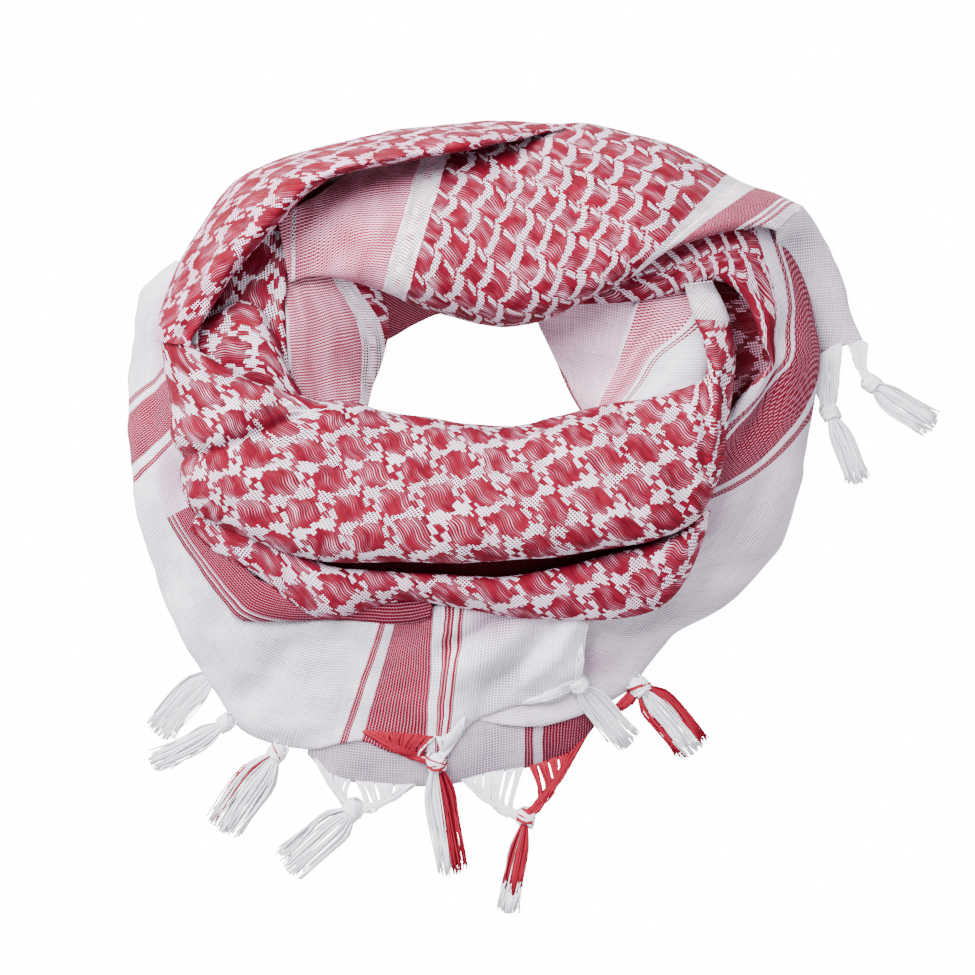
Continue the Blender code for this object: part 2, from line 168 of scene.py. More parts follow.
class Graph:
    """A material's node tree, written as formulas."""

    def __init__(self, name: str) -> None:
        """Starts a material.

        Args:
            name: The material's name.
        """
        self.material = bpy.data.materials.new(name)
        self.material.use_nodes = True
        self.tree = self.material.node_tree
        self.shader = self.tree.nodes["Principled BSDF"]

    def node(self, kind: str, settings: dict[str, object], inputs: dict[object, object]) -> bpy.types.Node:
        """Adds a node.

        Args:
            kind: The node's type.
            settings: Its properties by name.
            inputs: Its inputs by name or number: a Num, a socket, a number or a colour.

        Returns:
            The node.
        """
        made = self.tree.nodes.new(kind)
        for key, value in settings.items():
            setattr(made, key, value)
        for key, value in inputs.items():
            raw = value.value if isinstance(value, Num) else value
            if isinstance(raw, bpy.types.NodeSocket):
                self.tree.links.new(raw, made.inputs[key])
            else:
                made.inputs[key].default_value = raw
        return made

    def num(self, value: object) -> Num:
        """Wraps a socket or a number."""
        return Num(self, value)

    def math(self, name: str, *values: object) -> Num:
        """One Math node on up to three values."""
        made = self.node("ShaderNodeMath", {"operation": name}, dict(enumerate(values)))
        return self.num(made.outputs[0])

    def smooth_step(self, value: Num, low: object, high: object) -> Num:
        """A smooth step of value from 0 at low to 1 at high."""
        made = self.node(
            "ShaderNodeMapRange",
            {"interpolation_type": "SMOOTHSTEP"},
            {"Value": value, "From Min": low, "From Max": high},
        )
        return self.num(made.outputs[0])

    def mix(self, share: object, first: object, second: object, way: str = "MIX") -> bpy.types.NodeSocket:
        """Mixes two colours."""
        settings = {"data_type": "RGBA", "blend_type": way}
        made = self.node("ShaderNodeMix", settings, {0: share, 6: first, 7: second})
        return made.outputs[2]

    def blend(self, share: Num, first: Num, second: Num) -> Num:
        """Mixes two numbers."""
        return first + (second - first) * share

    def spot(self, u: object, v: object) -> bpy.types.NodeSocket:
        """A point from two numbers."""
        return self.node("ShaderNodeCombineXYZ", {}, {0: u, 1: v}).outputs[0]

    def cloud(self, u: object, v: object, size: float, detail: float = 1.0) -> Num:
        """Soft noise from -1 to 1 on a plane.

        Args:
            u: First coordinate.
            v: Second coordinate.
            size: Width of one lump.
            detail: Octaves of finer noise.

        Returns:
            The noise.
        """
        made = self.node(
            "ShaderNodeTexNoise",
            {"noise_dimensions": "2D"},
            {"Vector": self.spot(u, v), "Scale": 1 / size, "Detail": detail, "Roughness": 0.5},
        )
        return (self.num(made.outputs[0]) - 0.5) * 2.6

    def dice(self, value: Num) -> Num:
        """A random number from 0 to 1 for each whole number."""
        made = self.node("ShaderNodeTexWhiteNoise", {"noise_dimensions": "1D"}, {"W": value})
        return self.num(made.outputs[0])

    def cloth_place(self, name: str = "cloth") -> tuple[Num, Num]:
        """The cloth's own coordinates in millimetres, along and across, from the UV map of this name."""
        source = self.node("ShaderNodeUVMap", {"uv_map": name}, {})
        apart = self.node("ShaderNodeSeparateXYZ", {}, {0: source.outputs[0]})
        return self.num(apart.outputs[0]) * 1000, self.num(apart.outputs[1]) * 1000


# ------------------------------------------------------------------------------------------------- finishes


@dataclass(frozen=True)
class Palette:
    """Colours of the threads and of what shows between them, scene-linear."""

    white: tuple[float, ...] = (0.86, 0.81, 0.91, 1)
    pink_white: tuple[float, ...] = (0.93, 0.77, 0.93, 1)
    fine_white: tuple[float, ...] = (0.93, 0.48, 0.67, 1)
    red: tuple[float, ...] = (0.150, 0.0030, 0.0150, 1)
    deep_red: tuple[float, ...] = (0.072, 0.0012, 0.0065, 1)
    # gap is painted shade in the narrow gaps between close-lying threads; open_gap is the pale ground where
    # they part
    gap: tuple[float, ...] = (0.110, 0.0030, 0.0140, 1)
    open_gap: tuple[float, ...] = (0.66, 0.36, 0.49, 1)
    # hole and pale_hole: the cloth below as it shows through the weave's holes, darkened by painted shade;
    # pale_hole also greys the thicker threads of the plain weave
    hole: tuple[float, ...] = (0.060, 0.004, 0.014, 1)
    pale_hole: tuple[float, ...] = (0.26, 0.22, 0.29, 1)
    # below: the colour that the show-through-and-shade patches multiply in, red cloth showing through with
    # painted shade and red bounce light
    below: tuple[float, ...] = (0.72, 0.40, 0.58, 1)


@dataclass(frozen=True)
class Zone:
    """A stretch of the pattern, from start to end along the cloth, woven one way."""

    start: float
    end: float
    kind: Kind


@dataclass(frozen=True)
class ShowThroughAndShade:
    """A soft patch painted pinker and darker, partly red cloth below showing through the gauze and partly
    painted shade and painted red bounce light, as under the front band: its middle, half its size and its
    share.
    """

    along: float
    across: float
    long: float
    broad: float
    share: float


@dataclass(frozen=True)
class Weave:
    """How one stretch is woven.

    ground is the weave outside the zones.  turn is the angle of the threads to the pattern's axis.
    pale says that the holes of the plain weave show pale cloth below and not red.  painted_shade_and_tint
    multiplies the colours: painted shade where a stretch lies in shadow or away from the light, and on the
    rolls painted light or a redder tone.  loose is how far the long threads part.
    """

    ground: Kind
    zones: tuple[Zone, ...] = ()
    turn: float = 0.0
    shift: float = 0.0
    pale: bool = True
    painted_shade_and_tint: tuple[float, float, float] = (1.0, 1.0, 1.0)
    show_through_and_shade: tuple[ShowThroughAndShade, ...] = ()
    loose: float = 1.0


@dataclass
class Woven:
    """The colour and the relief of one weave at a point."""

    colour: object
    height: Num


class ClothFinish:
    """Cotton gauze with woven figures, stripes and borders."""

    RELIEF = 0.00045  # how high the threads stand for the bump, in metres
    HALF_FLOAT = 9.9  # half the longest thread of a figure
    END_SCATTER = 2.4  # how unevenly those threads end
    PAIR_SHIFT = 3.4  # how far two neighbours shift together
    HALF_CHECK = 3.4  # half the width of the small checks
    BOW_REACH = 9.0  # how far from a figure's middle its threads bow
    BOW = 0.85  # how far they bow
    RIBBON = 0.28  # the share of a shell's repeat that its white ribbon takes

    def __init__(self, name: str, weave: Weave, palette: Palette = Palette()) -> None:
        """Builds the material.

        Args:
            name: The material's name.
            weave: Its weave.
            palette: Its colours.
        """
        self.graph = Graph(name)
        self.weave = weave
        self.palette = palette
        graph = self.graph
        along, across = graph.cloth_place()
        wander = graph.cloud(along, across, 16.0) * 0.5
        along = along + wander
        self.along, self.across = along, across
        angle = math.radians(weave.turn)
        warp, weft = graph.cloth_place("lay")
        warp = warp + wander
        self.u = warp * math.cos(angle) + weft * math.sin(angle) + weave.shift
        self.v = weft * math.cos(angle) - warp * math.sin(angle)
        makers: dict[Kind, Callable[[], Woven]] = {
            Kind.PLAIN: self.plain,
            Kind.FIGURE: self.figure,
            Kind.SHELL: self.shell,
            Kind.FINE: self.fine,
            Kind.BAND: self.band,
            Kind.NARROW: self.narrow,
            Kind.DASH: self.dash,
        }
        made = {weave.ground: makers[weave.ground]()}
        colour, height = made[weave.ground].colour, made[weave.ground].height
        for zone in weave.zones:
            if zone.kind not in made:
                made[zone.kind] = makers[zone.kind]()
            inside = (along > zone.start) * (along < zone.end)
            colour = graph.mix(inside, colour, made[zone.kind].colour)
            height = graph.blend(inside, height, made[zone.kind].height)
        # partly red showing through, partly painted shade: each patch multiplies the colour by the below
        # colour
        for patch in weave.show_through_and_shade:
            far = (along - patch.along) / patch.long
            aside = (across - patch.across) / patch.broad
            share = (1 - far * far - aside * aside).step(0.0, 1.0) * patch.share
            colour = graph.mix(share, colour, palette.below, "MULTIPLY")
        # painted shade and painted light: the stretch's colours multiplied by its painted_shade_and_tint
        if weave.painted_shade_and_tint != (1.0, 1.0, 1.0):
            colour = graph.mix(1.0, colour, (*weave.painted_shade_and_tint, 1), "MULTIPLY")
        graph.tree.links.new(colour, graph.shader.inputs["Base Color"])
        bump = graph.node("ShaderNodeBump", {}, {"Strength": 0.5, "Distance": self.RELIEF, "Height": height})
        graph.tree.links.new(bump.outputs[0], graph.shader.inputs["Normal"])
        rough = 0.82 + graph.cloud(along, across, 9.0) * 0.05
        graph.tree.links.new(rough.value, graph.shader.inputs["Roughness"])
        graph.shader.inputs["Specular IOR Level"].default_value = 0.08

    def grid(self) -> tuple[Num, Num]:
        """The open holes of a plain weave, and its relief."""
        over = self.u.peak(MESH)
        under = self.v.peak(MESH)
        hole = (1 - over).step(0.11, 0.36) * (1 - under).step(0.11, 0.36)
        return hole, over.either(under)

    def plain(self) -> Woven:
        """White gauze in plain weave."""
        graph, tone = self.graph, self.palette
        hole, height = self.grid()
        openness = 0.75 + graph.cloud(self.u, self.v, 34.0, 2.0) * 0.5
        behind = tone.pale_hole if self.weave.pale else tone.hole
        thick_weft = graph.cloud(self.u / 9, self.v, 1.7).either(0.0)
        thick_warp = graph.cloud(self.v / 9, self.u, 1.7).either(0.0)
        base = graph.mix((thick_weft + thick_warp) * 0.34, tone.white, tone.pale_hole)
        return Woven(graph.mix(hole * openness.both(1.0), base, behind), height)

    def floats(self, u: Num, v: Num, spread: Num) -> tuple[object, Num]:
        """Long red threads side by side.

        Args:
            u: Along the threads.
            v: Across them.
            spread: 0 where they lie close and 1 where they part.

        Returns:
            Their colour and relief.
        """
        graph, tone = self.graph, self.palette
        count = (v / THREAD).floor()
        edge = v.peak(THREAD)
        width = graph.dice((v / THREAD + 0.5).floor() + 0.5) * 0.75 + 0.12
        open_at = 0.98 - spread * width * self.weave.loose
        gap = edge.step(open_at - 0.10, open_at + 0.10)
        # shade mixes a random tone for each thread, a cloudy change along the threads that paints their
        # sheen, and painted shade towards each thread's edges
        shade = graph.dice(count) * 0.5 + graph.cloud(u, v, 7.0) * 0.35 + edge * 0.35
        thread = graph.mix(shade.step(0.0, 1.0), tone.red, tone.deep_red)
        # painted shade between threads that lie close, the pale ground between threads that part
        between = graph.mix((spread * 1.5).both(1.0), tone.gap, tone.open_gap)
        return graph.mix(gap, thread, between), (1 - edge) * 0.7 + 0.5

    def figure(self) -> Woven:
        """The broken check: rounded bundles of red floats in a half drop, small checks at the corners."""
        graph, tone = self.graph, self.palette
        tall = FIGURE_THREADS * THREAD
        u = self.u + graph.cloud(self.u, self.v, 38.0) * 2.0
        v = self.v + graph.cloud(self.v + 91.0, self.u, 34.0) * 2.0
        row = (v / tall).floor()
        inside = (v / tall).fract() - 0.5
        place = u + row * (FIGURE / 2) + inside * (tall * 0.22)
        off = ((place / FIGURE).fract() - 0.5) * FIGURE
        near = off.both(self.BOW_REACH).either(-self.BOW_REACH)
        swing = (near * (math.pi / self.BOW_REACH)).op("SINE") * (1 - inside * inside * 4).either(0.0)
        v = v - swing * self.BOW + graph.cloud(self.u / 4, self.v, 4.0) * 0.28
        thread = (v / THREAD).floor()
        number = thread % FIGURE_THREADS
        row = (thread / FIGURE_THREADS + 0.001).floor()
        middle = (number - (FIGURE_THREADS / 2 - 0.5)) / 6.6
        place = u + row * (FIGURE / 2) + middle * 1.9
        cell = (place / FIGURE).floor()
        off = (place / FIGURE - cell - 0.5) * FIGURE
        toss = graph.dice(thread + cell * 37.3)
        pair = graph.dice((thread / 2).floor() + cell * 17.9)
        rounded = (1 - middle * middle).either(0.0).op("POWER", 0.50)
        half = rounded * self.HALF_FLOAT + (toss - 0.5) * self.END_SCATTER
        figure = (off + (pair - 0.5) * self.PAIR_SHIFT).op("ABSOLUTE") < half
        corner = ((off.op("ABSOLUTE") - FIGURE / 4).op("ABSOLUTE") + toss * 1.2) < self.HALF_CHECK
        red = graph.blend(middle.op("ABSOLUTE") > 0.9, figure, corner)
        spread = (0.20 + graph.cloud(u / 1.6, v * 1.4, 9.0) * 0.55).either(0.0).both(1.0)
        threads, relief = self.floats(u, v, spread)
        hole, height = self.grid()
        openness = (0.92 + graph.cloud(self.v, self.u, 28.0, 1.0) * 0.4).either(0.3).both(1.0)
        ground = graph.mix(hole * openness, tone.pink_white, tone.hole)
        return Woven(graph.mix(red, ground, threads), graph.blend(red, height * 0.5, relief))

    def shell(self) -> Woven:
        """Rows of red shells parted by scalloped white ribbons, which follow the borders."""
        graph, tone = self.graph, self.palette
        tall = SHELL_THREADS * THREAD
        p = self.along + graph.cloud(self.u, self.v, 22.0) * 2.2
        v = self.v + graph.cloud(self.v + 57.0, self.u, 26.0) * 2.4
        inside = (v / tall).fract()
        lean = (p / SHELL + inside * 0.2).fract() - 0.40
        v = v + (lean * lean) * 4.2 + graph.cloud(self.u / 2.5, self.v, 4.0) * 0.35
        thread = (v / THREAD).floor()
        number = thread % SHELL_THREADS
        share = number / SHELL_THREADS
        toss = graph.dice(thread)
        bulge = (share - 0.42) * (share - 0.42) * 0.9
        row = (thread / SHELL_THREADS + 0.001).floor()
        place = p / SHELL + bulge - share * 0.16 + (toss - 0.5) * 0.10 + graph.dice(row) * 0.16
        cell = place.fract()
        ribbon = cell < self.RIBBON
        arc = (share > 0.72) * (share < 0.90) * (cell > 0.40 + toss * 0.12) * (cell < 0.86 + toss * 0.1)
        red = (1 - ribbon.either(arc)).either((share > 0.9) * (cell > 0.1))
        spread = (0.22 + graph.cloud(self.u / 1.6, v * 1.4, 9.0) * 0.55).either(0.0).both(1.0)
        threads, relief = self.floats(self.u, v, spread)
        hole, height = self.grid()
        ground = graph.mix(hole * 0.9, tone.pink_white, tone.hole)
        return Woven(graph.mix(red, ground, threads), graph.blend(red, height * 0.5, relief))

    def fine(self) -> Woven:
        """Fine zigzag stripes, red and white, two threads each."""
        graph, tone = self.graph, self.palette
        u, v = self.along, self.across + self.along * 0.16
        line = v + u.peak(1.9) * 0.5 + graph.cloud(u, v, 24.0) * 1.6
        thin = 0.27 - graph.cloud(v / 3, u, 9.0) * 0.18
        red = line.peak(FLECK).step(thin - 0.12, thin + 0.12)
        dot = 1 - u.peak(0.95).step(0.6, 0.9) * 0.25
        return Woven(graph.mix(red * dot, tone.fine_white, tone.red), 1 - red * 0.6)

    def band(self) -> Woven:
        """A wide border stripe: red across white in plain weave, so white flecks show."""
        graph, tone = self.graph, self.palette
        cell = self.v + (self.u / MESH).floor() * (FLECK / 2)
        fleck = self.u.peak(MESH).step(0.54, 0.80) * cell.peak(FLECK).step(0.54, 0.80)
        shade = (0.35 + graph.cloud(self.u, self.v, 24.0, 2.0) * 0.5).either(0.0).both(1.0)
        base = graph.mix(shade, tone.red, tone.deep_red)
        return Woven(graph.mix(fleck, base, tone.fine_white), fleck)

    def narrow(self) -> Woven:
        """A narrow border stripe, a few red threads dotted with white."""
        graph, tone = self.graph, self.palette
        cell = self.v + (self.u / MESH).floor() * (FLECK / 2)
        dot = self.u.peak(MESH).step(0.54, 0.78) * cell.peak(FLECK).step(0.54, 0.80)
        return Woven(graph.mix(dot, tone.red, tone.pink_white), dot)

    def dash(self) -> Woven:
        """Short red dashes side by side on white."""
        graph, tone = self.graph, self.palette
        faded = (0.75 + graph.cloud(self.u, self.v, 6.0) * 0.5).both(1.0)
        red = self.v.peak(FLECK).step(0.40, 0.60) * faded
        return Woven(graph.mix(red, tone.pink_white, tone.red), red)


class ThreadFinish:
    """Twisted cotton threads of a tassel, each a little different."""

    def __init__(self, name: str, colour: tuple[float, ...], twist_shade: tuple[float, ...]) -> None:
        """Builds the material.

        Args:
            name: The material's name.
            colour: The threads' colour.
            twist_shade: Painted shade between their twists.
        """
        graph = Graph(name)
        along, across = graph.cloth_place()
        twist = (along + across * 0.9).peak(0.9)
        # painted shade in the grooves of the twist, with a random tone for each thread
        shade = twist * 0.35 + graph.dice(across.floor()) * 0.4
        tone = graph.mix(shade, colour, twist_shade)
        graph.tree.links.new(tone, graph.shader.inputs["Base Color"])
        bump = graph.node("ShaderNodeBump", {}, {"Strength": 0.5, "Distance": 0.0002, "Height": 1 - twist})
        graph.tree.links.new(bump.outputs[0], graph.shader.inputs["Normal"])
        rough = 0.78 + graph.dice(across.floor()) * 0.1
        graph.tree.links.new(rough.value, graph.shader.inputs["Roughness"])
        graph.shader.inputs["Specular IOR Level"].default_value = 0.1
        self.graph = graph


# ------------------------------------------------------------------------------------------------ the cloth


@dataclass(frozen=True)
class Row:
    """A cross-section of a stretch: its two edges, its arch, and where in the pattern each edge is."""

    ax: float
    ay: float
    az: float
    bx: float
    by: float
    bz: float
    crown: float
    pa: float | None = None
    pb: float | None = None


@dataclass(frozen=True)
class Crease:
    """A soft trough, or a ridge where depth is negative, along a line of points seen from above."""

    points: tuple[tuple[float, float], ...]
    depth: float
    width: float


@dataclass(frozen=True)
class Stretch:
    """One stretch of cloth that shows.

    square is how flat its arch is.  curl_a and curl_b are the radius and the degrees by which it turns under
    at its edges.  ripple is the height of its small wrinkles, and spacing the distance between its points.
    turned says that the pattern runs across it, straight that its threads keep their direction where it heads
    down, seen from above, and lifted that it's raised clear of what lies below.  nodes are those it replaces,
    where they aren't the one of its name.
    """

    name: str
    rows: tuple[Row, ...]
    weave: Weave
    slot: Slot
    square: float = 2.0
    curl_a: tuple[float, float] = (0.0, 0.0)
    curl_b: tuple[float, float] = (0.0, 0.0)
    creases: tuple[Crease, ...] = ()
    ripple: float = 0.35
    spacing: float = 1.7
    turned: bool = False
    straight: bool = False
    lifted: bool = True
    nodes: tuple[str, ...] = ()


def smooth_rows(table: np.ndarray, steps: int) -> np.ndarray:
    """Reads a table of rows at even steps along a smooth curve through them.

    Args:
        table: Rows by columns.
        steps: How many rows to give back.

    Returns:
        The finer table.
    """
    count = len(table)
    place = np.linspace(0, count - 1, steps)
    first = np.clip(np.floor(place).astype(int), 0, count - 2)
    share = (place - first)[:, None]
    before, start = table[np.clip(first - 1, 0, count - 1)], table[first]
    end, after = table[first + 1], table[np.clip(first + 2, 0, count - 1)]
    leave, arrive = (end - before) / 2, (after - start) / 2
    cubic = 2 * start - 2 * end + leave + arrive
    square = 3 * end - 3 * start - 2 * leave - arrive
    return ((cubic * share + square) * share + leave) * share + start


def line_distance(
    x: np.ndarray, y: np.ndarray, points: Sequence[tuple[float, float]]
) -> tuple[np.ndarray, np.ndarray]:
    """How far places are from a line of points, and how far along it.

    Args:
        x: First coordinates.
        y: Second coordinates.
        points: The line's points.

    Returns:
        The distances, and the shares of the line's length from 0 to 1.
    """
    spots = np.array(points, float)
    lengths = np.linalg.norm(np.diff(spots, axis=0), axis=1)
    total = lengths.sum()
    best = np.full(x.shape, 1e9)
    where = np.zeros(x.shape)
    run = 0.0
    for start, end, length in zip(spots[:-1], spots[1:], lengths):
        step = (end - start) / length
        along = np.clip((x - start[0]) * step[0] + (y - start[1]) * step[1], 0, length)
        off = np.hypot(x - start[0] - along * step[0], y - start[1] - along * step[1])
        nearer = off < best
        best = np.where(nearer, off, best)
        where = np.where(nearer, (run + along) / total, where)
        run += length
    return best, where


def write_places(mesh: bpy.types.Mesh, maps: dict[str, np.ndarray]) -> None:
    """Writes each point's place in the cloth as UV maps.

    Args:
        mesh: The mesh.
        maps: Each map's name, and its places in metres, one for each of the mesh's points.
    """
    index = np.zeros(len(mesh.loops), np.int32)
    mesh.loops.foreach_get("vertex_index", index)
    for name, places in maps.items():
        layer = mesh.uv_layers.new(name=name)
        layer.data.foreach_set("uv", places.reshape(-1, 2)[index].astype(np.float32).ravel())


def link_piece(name: str, mesh: bpy.types.Mesh) -> bpy.types.Object:
    """Puts a mesh in the scene as an object of this name."""
    obj = bpy.data.objects.new(name, mesh)
    bpy.context.scene.collection.objects.link(obj)
    return obj


class ClothShell:
    """One stretch of cloth as a thin shell."""

    ARCH_STEPS = 60  # points over an arch, before they're spaced evenly
    CURL_STEPS = 12  # points round an edge that turns under
    COARSE = 4  # points of the shell from one place where its lift is measured to the next
    PROBE = 2.0  # how far round such a place the rays look
    SPARE = 0.6  # the height over CLEAR that such a place keeps
    SOFT = 8  # rows each way over which the threads' direction is evened

    def __init__(self, stretch: Stretch, below: list[BVHTree]) -> None:
        """Shapes the stretch and lays it over those below.

        Args:
            stretch: Its table and settings.
            below: The stretches already laid.
        """
        self.stretch = stretch
        rows = np.array(
            [[r.ax, r.ay, r.az, r.bx, r.by, r.bz, r.crown, r.pa or 0, r.pb or 0] for r in stretch.rows], float
        )
        middle = (rows[:, 0:3] + rows[:, 3:6]) / 2
        length = np.linalg.norm(np.diff(middle, axis=0), axis=1).sum()
        reach = np.linalg.norm(rows[:, 3:6] - rows[:, 0:3], axis=1).max() + rows[:, 6].max()
        self.count = max(8, int(length / stretch.spacing))
        self.width = max(8, int((reach + 10) / stretch.spacing))
        table = smooth_rows(rows, self.count)
        self.points, self.main = self.sections(table)
        level = table[:, None, 3:5] - table[:, None, 0:2]
        off = ((self.points[..., 0:2] - table[:, None, 0:2]) * level).sum(axis=2)
        self.share = np.clip(off / np.maximum((level**2).sum(axis=2), 1e-6), 0, 1)
        self.crease()
        self.wrinkle()
        if stretch.lifted:
            self.clear(below)
        self.lengths()
        self.pattern = self.place_pattern(table)
        self.lay = self.place_threads() if stretch.straight else self.pattern

    def sections(self, table: np.ndarray) -> tuple[np.ndarray, np.ndarray]:
        """The cross-sections' points, evenly spaced, and which are on the arch itself."""
        stretch = self.stretch
        angles = np.linspace(math.pi, 0, self.ARCH_STEPS)
        share = (1 + np.sign(np.cos(angles)) * np.abs(np.cos(angles)) ** (2 / stretch.square)) / 2
        rise = np.abs(np.sin(angles)) ** (2 / stretch.square)
        points, mains = [], []
        for row in table:
            a, b, crown = row[0:3], row[3:6], row[6]
            arch = a + (b - a) * share[:, None]
            arch[:, 2] += crown * rise
            level = b - a
            level[2] = 0
            level /= max(np.linalg.norm(level), 1e-6)
            lines, flags = [arch], [np.ones(len(arch))]
            for (radius, degrees), edge, inward, first in (
                (stretch.curl_a, a, level, True),
                (stretch.curl_b, b, -level, False),
            ):
                if not radius:
                    continue
                radius = min(radius, 0.22 * float(np.linalg.norm((b - a)[0:2])) + 0.2)
                steepest = max(math.sin(math.radians(min(degrees, 90))), 0.1)
                radius = min(radius, max(1.0, (edge[2] - 2.0) / steepest))
                turn = np.radians(np.linspace(0, degrees, self.CURL_STEPS))[1:]
                curl = edge + inward * (radius * (1 - np.cos(turn)))[:, None]
                curl[:, 2] = edge[2] - radius * np.sin(turn)
                lines.insert(0, curl[::-1]) if first else lines.append(curl)
                flags.insert(0, np.zeros(len(curl))) if first else flags.append(np.zeros(len(curl)))
            line, flag = np.concatenate(lines), np.concatenate(flags)
            run = np.concatenate([[0], np.cumsum(np.linalg.norm(np.diff(line, axis=0), axis=1))])
            even = np.linspace(0, run[-1], self.width)
            points.append(np.stack([np.interp(even, run, line[:, k]) for k in range(3)], axis=1))
            mains.append(np.interp(even, run, flag))
        return np.array(points), np.array(mains)

    def normals(self) -> np.ndarray:
        """Each point's normal, upwards over the whole stretch."""
        along = np.gradient(self.points, axis=0)
        across = np.gradient(self.points, axis=1)
        normal = np.cross(along, across)
        normal /= np.maximum(np.linalg.norm(normal, axis=2, keepdims=True), 1e-9)
        return normal if (normal[..., 2] * self.main).sum() > 0 else -normal

    def crease(self) -> None:
        """Presses the creases in."""
        if not self.stretch.creases:
            return
        normal = self.normals()
        x, y = self.points[..., 0], self.points[..., 1]
        move = np.zeros(x.shape)
        for crease in self.stretch.creases:
            off, where = line_distance(x, y, crease.points)
            ends = np.clip(np.sin(np.pi * np.clip(where, 0.0, 1.0)) * 2.2, 0, 1)
            trough = np.exp(-((off / crease.width) ** 2) * 1.4)
            shoulders = 0.25 * np.exp(-((off / crease.width / 2.2) ** 2))
            move -= crease.depth * ends * (trough - shoulders)
        self.points += normal * move[..., None]

    def wrinkle(self) -> None:
        """Adds small uneven wrinkles that run mostly one way."""
        if not self.stretch.ripple:
            return
        normal = self.normals()
        move = np.zeros(self.points.shape[:2])
        seed = sum(map(ord, self.stretch.name)) * 0.37
        for i in range(self.count):
            for j in range(self.width):
                x, y, z = self.points[i, j]
                move[i, j] = noise.noise(Vector((x / 34 + seed, y / 21, z / 26)))
                move[i, j] += 0.45 * noise.noise(Vector((x / 13 + seed, y / 9, z / 11)))
        self.points += normal * (move * self.stretch.ripple * 2.2)[..., None]

    def clear(self, below: list[BVHTree]) -> None:
        """Lifts the stretch where one below it would show through."""
        lift = np.zeros(self.points.shape[:2])
        coarse_i = np.unique(np.linspace(0, self.count - 1, max(6, self.count // self.COARSE)).astype(int))
        coarse_j = np.unique(np.linspace(0, self.width - 1, max(6, self.width // self.COARSE)).astype(int))
        probe = self.PROBE
        small = np.zeros((len(coarse_i), len(coarse_j)))
        for a, i in enumerate(coarse_i):
            for b, j in enumerate(coarse_j):
                if self.main[i, j] < 0.5:
                    continue
                point = self.points[i, j]
                top = 0.0
                for dx, dy in ((0, 0), (probe, 0), (-probe, 0), (0, probe), (0, -probe)):
                    start = Vector((point[0] + dx, point[1] + dy, SKY))
                    for tree in below:
                        hit = tree.ray_cast(start, DOWN)[0]
                        if hit is not None:
                            top = max(top, hit.z)
                small[a, b] = max(0.0, top + CLEAR + self.SPARE - point[2]) if top else 0.0
        for _ in range(2):
            wide = np.pad(small, 1, mode="edge")
            near = [
                wide[1 + di : wide.shape[0] - 1 + di, 1 + dj : wide.shape[1] - 1 + dj]
                for di in (-1, 0, 1)
                for dj in (-1, 0, 1)
            ]
            small = np.maximum(small, sum(near) / 9)
        rows = np.array([np.interp(np.arange(self.width), coarse_j, line) for line in small])
        for j in range(self.width):
            lift[:, j] = np.interp(np.arange(self.count), coarse_i, rows[:, j])
        self.points[..., 2] += lift * np.clip(self.main, 0, 1)
        for i in range(self.count):
            for j in range(self.width):
                if self.main[i, j] < 0.5:
                    continue
                point = self.points[i, j]
                start = Vector((point[0], point[1], SKY))
                for tree in below:
                    hit = tree.ray_cast(start, DOWN)[0]
                    if hit is not None and hit.z + CLEAR > point[2]:
                        point[2] = hit.z + CLEAR
        self.points[..., 2] = np.maximum(self.points[..., 2], CLOTH_THICK + 0.3)

    def lengths(self) -> None:
        """Measures the cloth along and across, at its middle."""
        along = np.linalg.norm(np.diff(self.points, axis=0), axis=2)
        across = np.linalg.norm(np.diff(self.points, axis=1), axis=2)
        self.long = float(along.sum(axis=0).mean())
        self.broad = float(across.sum(axis=1).mean())

    def from_middle(self) -> np.ndarray:
        """How far each point is from the stretch's middle line, over the cloth."""
        across = np.linalg.norm(np.diff(self.points, axis=1), axis=2)
        run = np.concatenate([np.zeros((self.count, 1)), np.cumsum(across, axis=1)], axis=1)
        return run - run[:, self.width // 2 : self.width // 2 + 1]

    def place_pattern(self, table: np.ndarray) -> np.ndarray:
        """Each point's place in the pattern, in metres of cloth."""
        q = self.from_middle()
        along = np.linalg.norm(np.diff(self.points, axis=0), axis=2).mean(axis=1)
        run = np.concatenate([[0], np.cumsum(along)])[:, None] * np.ones((1, self.width))
        if self.stretch.rows[0].pa is None:
            p = run
        else:
            p = table[:, 7:8] * (1 - self.share) + table[:, 8:9] * self.share
            if self.stretch.turned:
                q = run
        return np.stack([p, q], axis=2) * MM

    def place_threads(self) -> np.ndarray:
        """Each point's place in the weave, in metres, where its threads keep their direction round a bend."""
        middle = self.points[:, self.width // 2]
        heading = np.gradient(middle, axis=0)
        angle = np.minimum(np.arctan2(heading[:, 1], heading[:, 0]), 0)
        window = 2 * self.SOFT + 1
        angle = np.convolve(np.pad(angle, self.SOFT, mode="edge"), np.ones(window) / window, mode="valid")
        q = self.from_middle()
        step = np.linalg.norm(np.diff(self.points, axis=0), axis=2).mean(axis=1)
        x = np.concatenate([[0], np.cumsum(step * np.cos(angle[1:]))])[:, None] + np.sin(angle)[:, None] * q
        y = np.concatenate([[0], np.cumsum(step * np.sin(angle[1:]))])[:, None] - np.cos(angle)[:, None] * q
        return np.stack([x, -y], axis=2) * MM

    def tree(self) -> BVHTree:
        """The shell's faces, for what is laid over it."""
        points = [Vector(p) for p in self.points.reshape(-1, 3)]
        return BVHTree.FromPolygons(points, self.faces())

    def faces(self) -> list[tuple[int, int, int, int]]:
        """The shell's quads."""
        up = (self.normals()[..., 2] * self.main).sum()
        base = np.cross(np.gradient(self.points, axis=0), np.gradient(self.points, axis=1))
        flip = (base[..., 2] * self.main).sum() * up < 0
        made = []
        for i in range(self.count - 1):
            for j in range(self.width - 1):
                a = i * self.width + j
                quad = (a, a + self.width, a + self.width + 1, a + 1)
                made.append(tuple(reversed(quad)) if flip else quad)
        return made

